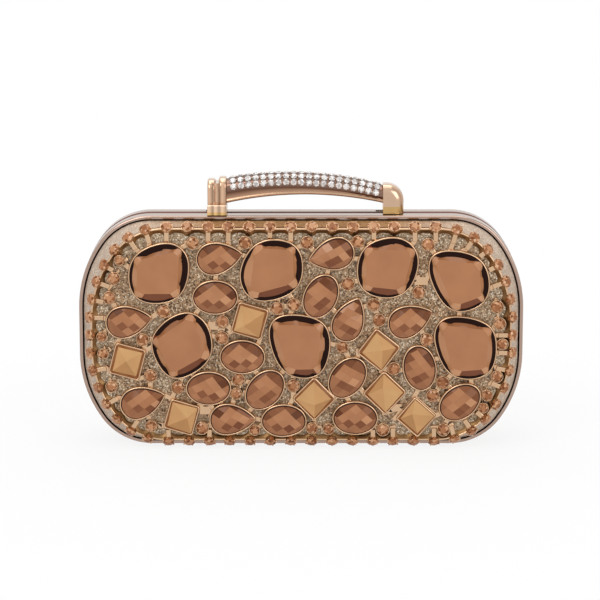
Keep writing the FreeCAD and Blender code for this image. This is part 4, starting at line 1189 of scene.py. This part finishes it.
railShape = {
    "reach": 2.4 * mm,          # rim beyond the solid's outer edge
    "step": 0.7 * mm,
    "bay": (1.7 * mm, 1.7 * mm),        # width of the slope in a bay, and how much more at a border stone
    "bayLength": 1.9 * mm,
    # share of the slope, mm above the field
    "slope": [(1.0, 0.03), (0.85, 0.3), (0.45, 0.8), (0.18, 1.2)],
    # mm outwards from the rim, mm above the field
    "ridge": [(-0.12, 1.42), (0.1, 1.55), (0.4, 1.5), (0.58, 1.25), (0.62, 0.6), (0.62, -2.2)],
}


def makeRail():
    rim = resample(insetLoop(rimLoop("border_rail"), -railShape["reach"]), railShape["step"])
    narrow, more = railShape["bay"]
    gaps = [borderTree.find(at(p, 0))[2] for p in rim]
    widths = [narrow + more * math.exp(-(gap / railShape["bayLength"]) ** 2) for gap in gaps]
    rows = [([share * width for width in widths], up) for share, up in railShape["slope"]]
    rows += [(-out * mm, up) for out, up in railShape["ridge"]]
    skin = Skin()
    skin.strip([[at(p, fieldDepth - up * mm) for p in insetLoop(rim, inset)] for inset, up in rows],
               slots=[1] * len(railShape["slope"]) + [0] * (len(railShape["ridge"]) - 1))
    place(skin.build("borderRail", cageMetal, railShadeMetal), "front_half", "cage_metal", "border_rail")


makeRail()
print("rail swept")


# small round stones: faceted crowns, in rings or cups with four claws

gemCut = {"sides": 8, "table": 0.5, "star": 0.78, "starRise": 0.55}
# amber is the stones' own colour; the lighter and darker facets drawn from this list are painted reflections
amberTones = [rgb(196, 140, 96), rgb(178, 120, 78), rgb(156, 100, 62), rgb(124, 74, 44), rgb(214, 164, 120)]
ringShape = {
    "fieldSeed": 11,
    "borderSeed": 12,
    # mm outwards from the stone, mm above the openwork
    "profile": [(0.0, 0.1), (0.0, 1.0), (0.08, 1.14), (0.2, 1.2), (0.34, 1.12), (0.4, 0.95), (0.4, 0)],
    "claws": 4,
    "claw": 0.34 * mm,
    "clawOut": 0.1 * mm,
    "borderGrow": 1.13,         # border stones cover their cup's lip
    "borderLift": 0.15 * mm,
}


def roundSeat(seat, turn, share, height):
    # point at a turn round the axis, a share of the radius out
    spot, axis, radius = seat[:3]
    side = axis.orthogonal().normalized()
    out = side * math.cos(turn) + axis.cross(side) * math.sin(turn)
    return spot + axis * height + out * radius * share


def roundGem(facets, seat, tones, choose):
    spot, axis, radius, girdle, top = seat
    start = choose.uniform(0, math.tau)
    step = math.tau / gemCut["sides"]
    starHeight = girdle + (top - girdle) * gemCut["starRise"]
    facets.inside = spot
    table = []
    for i in range(gemCut["sides"]):
        a, half, b = (start + step * (i + share) for share in (0, 0.5, 1))
        # painted reflections: each facet gets a tone drawn from the list
        tone = [choose.choice(tones) for _ in range(3)]
        foot = [roundSeat(seat, turn, 1, 0) for turn in (b, a)]
        rim = [roundSeat(seat, turn, 1, girdle) for turn in (a, b)]
        stars = [roundSeat(seat, turn, gemCut["star"], starHeight) for turn in (half, half + step)]
        tops = [roundSeat(seat, turn, gemCut["table"], top) for turn in (a, b)]
        facets.add(rim + foot, tones[2])
        facets.add(rim + stars[:1], tone[0])
        facets.add([rim[1], stars[1], tops[1], stars[0]], tone[1])
        facets.add(tops + stars[:1], tone[2])
        table.append(tops[0])
    facets.add(table, choose.choice(tones[:3]))


def claws(skin, seat, choose):
    spot, axis, radius, girdle, top = seat
    start = choose.uniform(0, math.tau)
    for k in range(ringShape["claws"]):
        turn = start + math.tau * k / ringShape["claws"]
        skin.bead(roundSeat(seat, turn, 1 + ringShape["clawOut"] / radius, girdle), ringShape["claw"])


def makeFieldChatons():
    choose = random.Random(ringShape["fieldSeed"])
    facets, skin = Facets(), Skin()
    for i, (spot, axis, radius, girdle, top) in enumerate(chatonSeats):
        loop = outlines["chaton_%d" % i]
        seat = (spot, axis, (loop[0] - at(spot, loop[0].y)).length, girdle, top)
        roundGem(facets, seat, amberTones, choose)
        claws(skin, seat, choose)
        skin.sweep(loop, [(out * mm, spot.y - up * mm) for out, up in ringShape["profile"]])
    place(facets.build("fieldChatonCut", amberStone), "front_half", "small_stone", "field_chatons")
    place(skin.build("fieldChatonRings", cageMetal), "front_half", "cage_metal", "chaton_rings")


def makeBorderChatons():
    choose = random.Random(ringShape["borderSeed"])
    facets, skin = Facets(), Skin()
    for spot, axis, radius, girdle, top in borderSeats:
        seat = (spot, axis, radius * ringShape["borderGrow"], girdle + ringShape["borderLift"], top)
        roundGem(facets, seat, amberTones, choose)
        claws(skin, seat, choose)
    place(facets.build("borderChatonCut", amberStone), "front_half", "small_stone", "border_chatons")
    place(skin.build("borderChatonClaws", cageMetal), "front_half", "cage_metal")


makeFieldChatons()
makeBorderChatons()
print("small stones cut")


# handle: a lip below with a painted highlight, a cove under the clear stones darkened with painted shade, and
# the rounded top that they stand on, with painted shade between the stones

# painted reflections: white to grey facets of the clear stones
clearReflections = [rgb(252, 251, 250), rgb(226, 222, 220), rgb(190, 184, 182), rgb(150, 140, 138),
              rgb(242, 236, 232)]
barShape = {
    "seed": 21,
    "stations": 48,
    # painted highlight: a lighter tone on the lip below, and on the beads between the stones
    "lip": rgb(196, 162, 134),
    "rose": rgb(168, 134, 110),
    # painted shade: the cove under the stones darkens to the deep tone at its top
    "coveShade": rgb(138, 104, 84),
    "deep": rgb(102, 72, 58),
    # painted shade on the top, seen between the stones
    "bedShade": rgb(136, 108, 94),
    # mm from the middle, mm above the underside; then share of the way up to the stones
    "lowRows": [(0, 0, "rose"), (3.8, 0, "rose"), (4.9, 0.12, "rose"), (5.4, 0.5, "lip"), (5.5, 0.9, "lip"),
                (5.4, 1.3, "lip"), (5.15, 1.6, "rose")],
    "coveRows": [(5.02, 0.35, "rose"), (5.0, 0.7, "coveShade"), (5.1, 1.0, "deep")],
    "coveLeast": 0.3 * mm,
    "stoneFoot": 5.8 * mm,      # lower edge of the front row, below the top
    "topRound": 4.2 * mm,
    "topTurns": (0, 30, 60, 90),
    "flat": 1.3 * mm,
    "crownBand": 1.56 * mm,     # where the solid's top and underside are read: half widths, drop, spacing
    "lowBand": 4.4 * mm,
    "lowDrop": 5 * mm,
    "spacing": 0.1 * mm,
    "bead": 0.36 * mm,
    "beadGap": (2.2, 2.7),      # radii between two stones of a row
    "stoneGrow": 1.1,
    "stoneTop": 0.96,
    "rowLean": 0.87,            # share of a row's lean that is kept
    "slopeStep": 0.5 * mm,
}


def arcHeight(samples):
    # height over x of the circle through the first, middle and last sample
    (ax, az), (bx, bz), (cx, cz) = samples[0], samples[len(samples) // 2], samples[-1]
    sa, sb, sc = (x * x + z * z for x, z in ((ax, az), (bx, bz), (cx, cz)))
    twice = 2 * (ax * (bz - cz) + bx * (cz - az) + cx * (az - bz))
    x = (sa * (bz - cz) + sb * (cz - az) + sc * (az - bz)) / twice
    z = (sa * (cx - bx) + sb * (ax - cx) + sc * (bx - ax)) / twice
    radius = math.hypot(ax - x, az - z)
    return lambda along: z + math.sqrt(radius ** 2 - (along - x) ** 2)


def thinned(samples):
    # one sample for each place along x
    samples = sorted(samples)
    return samples[:1] + [q for p, q in zip(samples, samples[1:]) if q[0] - p[0] > barShape["spacing"]]


def makeBar():
    points = [v.co for v in nodes["handle_bar"].data.vertices]
    crown = thinned((p.x, p.z) for p in points if abs(p.y) < barShape["crownBand"])
    topAt = arcHeight(crown)
    lowAt = arcHeight(thinned((p.x, p.z) for p in points if abs(p.y) < barShape["lowBand"]
                              and topAt(p.x) - p.z > barShape["lowDrop"]))
    left, right = crown[0][0], crown[-1][0]
    stations = [left + (right - left) * i / barShape["stations"] for i in range(barShape["stations"] + 1)]
    low = [lowAt(x) for x in stations]
    high = [topAt(x) for x in stations]
    lip = barShape["lowRows"][-1][1] * mm
    rises = [max(barShape["coveLeast"], b - barShape["stoneFoot"] - a - lip) for a, b in zip(low, high)]
    half = [(out * mm, [z + up * mm for z in low], tone) for out, up, tone in barShape["lowRows"]]
    half += [(out * mm, [z + lip + share * rise for z, rise in zip(low, rises)], tone)
             for out, share, tone in barShape["coveRows"]]
    # the rounded top carries the painted shade between the stones
    for turn in map(math.radians, barShape["topTurns"]):
        out = barShape["flat"] + barShape["topRound"] * math.cos(turn)
        drop = barShape["topRound"] * (1 - math.sin(turn))
        half.append((out, [z - drop for z in high], "bedShade"))
    rows = [(-out, heights, tone) for out, heights, tone in half] + half[::-1]
    skin = Skin()
    skin.strip([[Vector((x, out, z)) for x, z in zip(stations, heights)] for out, heights, tone in rows],
               closed=False, tones=[barShape[tone] for out, heights, tone in rows])
    place(skin.build("handleBar", barMetal), "handle", "handle_metal", "handle_bar")
    return topAt


def towardsTop(seat, topAt):
    # rows draw together on the top, so that the dark cove below them shows
    spot, axis, radius, girdle, top = seat
    step = barShape["slopeStep"]
    up = Vector((topAt(spot.x - step) - topAt(spot.x + step), 0, 2 * step)).normalized()
    lean = math.atan2(axis.y, axis.dot(up)) * barShape["rowLean"]
    turned = up * math.cos(lean) + Vector((0, math.sin(lean), 0))
    return spot + (turned - axis) * barShape["topRound"], turned, radius, girdle, top


def makePave(topAt):
    choose = random.Random(barShape["seed"])
    facets, skin = Facets(), Skin()
    seats = [towardsTop(seat, topAt) for seat in gemSeats("handle_crystals")]
    for spot, axis, radius, girdle, top in seats:
        seat = (spot, axis, radius * barShape["stoneGrow"], girdle, top * barShape["stoneTop"])
        roundGem(facets, seat, clearReflections, choose)
    # a bead of metal between each stone and the next one along its row
    least, most = barShape["beadGap"]
    for i, (spot, axis, radius, girdle, top) in enumerate(seats):
        for other in seats[:i]:
            if least * radius < (other[0] - spot).length < most * radius:
                up = (axis + other[1]).normalized() * girdle
                # the beads take the lip's lighter tone, a painted highlight
                skin.bead((spot + other[0]) / 2 + up, barShape["bead"], barShape["lip"])
    place(facets.build("paveStones", clearStone), "handle", "clear_stone", "handle_crystals")
    place(skin.build("paveBeads", barMetal), "handle", "handle_metal")


# posts of the handle: painted light and shade, darker on the sides and lighter on top, painted shade in the
# recess, a painted golden reflection at the foot, and painted reflection streaks across the left post

postTones = {
    # painted light and shade by the way a face points: front and back lighter, sides darker, upward faces
    # lighter still
    "face": rgb(220, 188, 160),
    "side": rgb(164, 126, 102),
    "crown": rgb(228, 202, 178),
    # painted shade in the recess
    "recessShade": rgb(196, 160, 132),
    # painted golden reflection at the foot
    "foot": rgb(214, 176, 116),
    "footHeight": {"handle_left_post": 106.8 * mm, "handle_right_elbow": 108.6 * mm},
    "footBlend": 0.3 * mm,
    "faceGain": 1.1,
    "crownPower": 1.5,
    "recessDepth": 0.9 * mm,
    "recessShare": 0.8,
    "facing": 0.6,              # least part of a normal that points to the front or back
    "plain": 0.85,              # factor where there are no streaks
    # painted bright and dark reflection streaks across the left post: share of its width, factor
    "reflectionStreaks": [(0.0, 1.0), (0.06, 1.25), (0.16, 1.1), (0.27, 0.55), (0.33, 0.75), (0.4, 1.3), (0.5, 1.05),
                (0.6, 0.6), (0.68, 0.8), (0.76, 1.3), (0.88, 1.0), (0.95, 0.7), (1.0, 0.8)],
}


def reflectionStreakAt(share):
    for (a, low), (b, high) in zip(postTones["reflectionStreaks"], postTones["reflectionStreaks"][1:]):
        if share <= b:
            return low + (high - low) * max(0, share - a) / (b - a)
    return 1


def makePost(node, name, reflectionStreaked):
    low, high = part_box(node)
    width = high[0] - low[0]
    footTop = postTones["footHeight"][node]
    # cuts at the foot and along the streaks, so that each tone has corners of its own
    cuts = [((0, 0, footTop - drop), (0, 0, 1)) for drop in (0, postTones["footBlend"])]
    if reflectionStreaked:
        cuts += [((low[0] + width * share, 0, 0), (1, 0, 0)) for share, factor in postTones["reflectionStreaks"][1:-1]]
    bm = openMesh(nodes[node].data, join=False)
    for spot, way in cuts:
        bmesh.ops.bisect_plane(bm, geom=bm.verts[:] + bm.edges[:] + bm.faces[:], plane_co=spot, plane_no=way)
    mesh = bpy.data.meshes.new(name)
    saveMesh(bm, mesh)
    layer = mesh.color_attributes.new("facetTone", "FLOAT_COLOR", "CORNER")
    for loop, bent in zip(mesh.loops, mesh.corner_normals):
        normal = bent.vector
        spot = mesh.vertices[loop.vertex_index].co
        facing = abs(normal.y) > postTones["facing"]
        # painted light and shade by the way the face points
        tone = mixTone(postTones["side"], postTones["face"], min(1, abs(normal.y) * postTones["faceGain"]))
        tone = mixTone(tone, postTones["crown"], max(0, normal.z) ** postTones["crownPower"])
        # painted shade in the recess
        if facing and abs(spot.y) < -low[1] - postTones["recessDepth"]:
            tone = mixTone(tone, postTones["recessShade"], postTones["recessShare"])
        # painted golden reflection at the foot
        tone = mixTone(tone, postTones["foot"], clamped((footTop - spot.z) / postTones["footBlend"]))
        # painted reflection streaks on the left post's front and back; the elbow's front and back get a plain
        # factor
        if facing:
            tone = scaled(tone, reflectionStreakAt((spot.x - low[0]) / width) if reflectionStreaked else postTones["plain"])
        layer.data[loop.index].color = tone
    mesh.materials.append(handleMetal)
    place(addObject(name, mesh), "handle", "handle_metal", node)


makePave(makeBar())
makePost("handle_left_post", "handleLeftPost", True)
makePost("handle_right_elbow", "handleRightElbow", False)
print("handle dressed")


# return spring: a folded strip that the latch bar presses together when the handle slides; here a copy of the
# CAD strip that does not bend


def makeSpring():
    mesh = nodes["return_spring"].data.copy()
    mesh.name = "returnSpringStrip"
    dress(mesh, springMetal)
    strip = addObject("returnSpringStrip", mesh)
    place(strip, "back_half", "spring_steel", "return_spring")
    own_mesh(strip)


makeSpring()
print("spring made")


# light, floor and white surround

lightSetup = {
    "world": 0.52,
    "sky": [(0.3, (0.62, 0.6, 0.58, 1)), (0.48, (0.5, 0.47, 0.45, 1)), (0.56, (0.85, 0.84, 0.83, 1)),
            (0.8, white)],                      # share of the way up, colour
    "aim": (0, 0, 0.05),
    "key": (-0.55, -0.9, 0.95, 5.5, 0.7),       # place, power, size
    "fill": (0.75, -0.8, 0.5, 3.0, 0.7),
    "top": (0.0, 0.1, 1.1, 4.0, 0.9),
}
floorLook = {
    "reach": 6,
    "colour": (0.86, 0.86, 0.86, 1),
    "roughness": 0.9,
    "fade": (0.1, 0.24, 0.86, 1),               # distance from and to, share of white
}


def makeLight(name, setup):
    *spot, power, size = setup[name]
    data = bpy.data.lights.new(name, "AREA")
    data.energy = power
    data.size = size
    lamp = addObject(name, data)
    lamp.location = spot
    lamp.rotation_euler = (Vector(setup["aim"]) - Vector(spot)).to_track_quat("-Z", "Y").to_euler()


def whiteSeen(tree):
    # 1 for what the camera, glossy and transmission rays see
    path = addNode(tree, "LightPath").outputs
    seen = calculate(tree, "MAXIMUM", path["Is Camera Ray"], path["Is Glossy Ray"])
    return calculate(tree, "MAXIMUM", seen, path["Is Transmission Ray"])


def makeWorld(setup):
    world = bpy.data.worlds.new("studio")
    bpy.context.scene.world = world
    world.use_nodes = True
    tree = world.node_tree
    ways = addNode(tree, "SeparateXYZ", {0: addNode(tree, "TexCoord").outputs["Generated"]}).outputs
    soft = ramp(tree, mapRange(tree, ways["Z"], -1, 1, 0, 1), setup["sky"])
    seen = whiteSeen(tree)
    feed(tree.nodes["Background"], {"Color": mixColours(tree, seen, soft, white),
                                    "Strength": mapRange(tree, seen, 0, 1, setup["world"], 1)})


def makeFloor(look):
    far = look["reach"]
    mesh = bpy.data.meshes.new("floor")
    mesh.from_pydata([(-far, -far, 0), (far, -far, 0), (far, far, 0), (-far, far, 0)], [], [(0, 1, 2, 3)])
    floor = addObject("floor", mesh)
    material, tree, shader = newMaterial("paleFloor")
    feed(shader, {"Base Color": look["colour"], "Roughness": look["roughness"], "Specular IOR Level": 0})
    # the white behind shows through, with a little of the shadow beside the bag; an open half can hang below
    away = addNode(tree, "VectorMath", {0: objectPlace(tree)}, operation="LENGTH").outputs["Value"]
    share = calculate(tree, "MULTIPLY", whiteSeen(tree), mapRange(tree, away, *look["fade"]))
    share = calculate(tree, "MAXIMUM", share, addNode(tree, "LightPath").outputs["Is Shadow Ray"])
    clear = addNode(tree, "BsdfTransparent").outputs[0]
    both = addNode(tree, "MixShader", {0: share, 1: shader.outputs[0], 2: clear}).outputs[0]
    feed(tree.nodes["Material Output"], {"Surface": both})
    mesh.materials.append(material)


makeWorld(lightSetup)
makeFloor(floorLook)
for name in ("key", "fill", "top"):
    makeLight(name, lightSetup)
bpy.context.scene.view_settings.view_transform = "Standard"
print("light set")
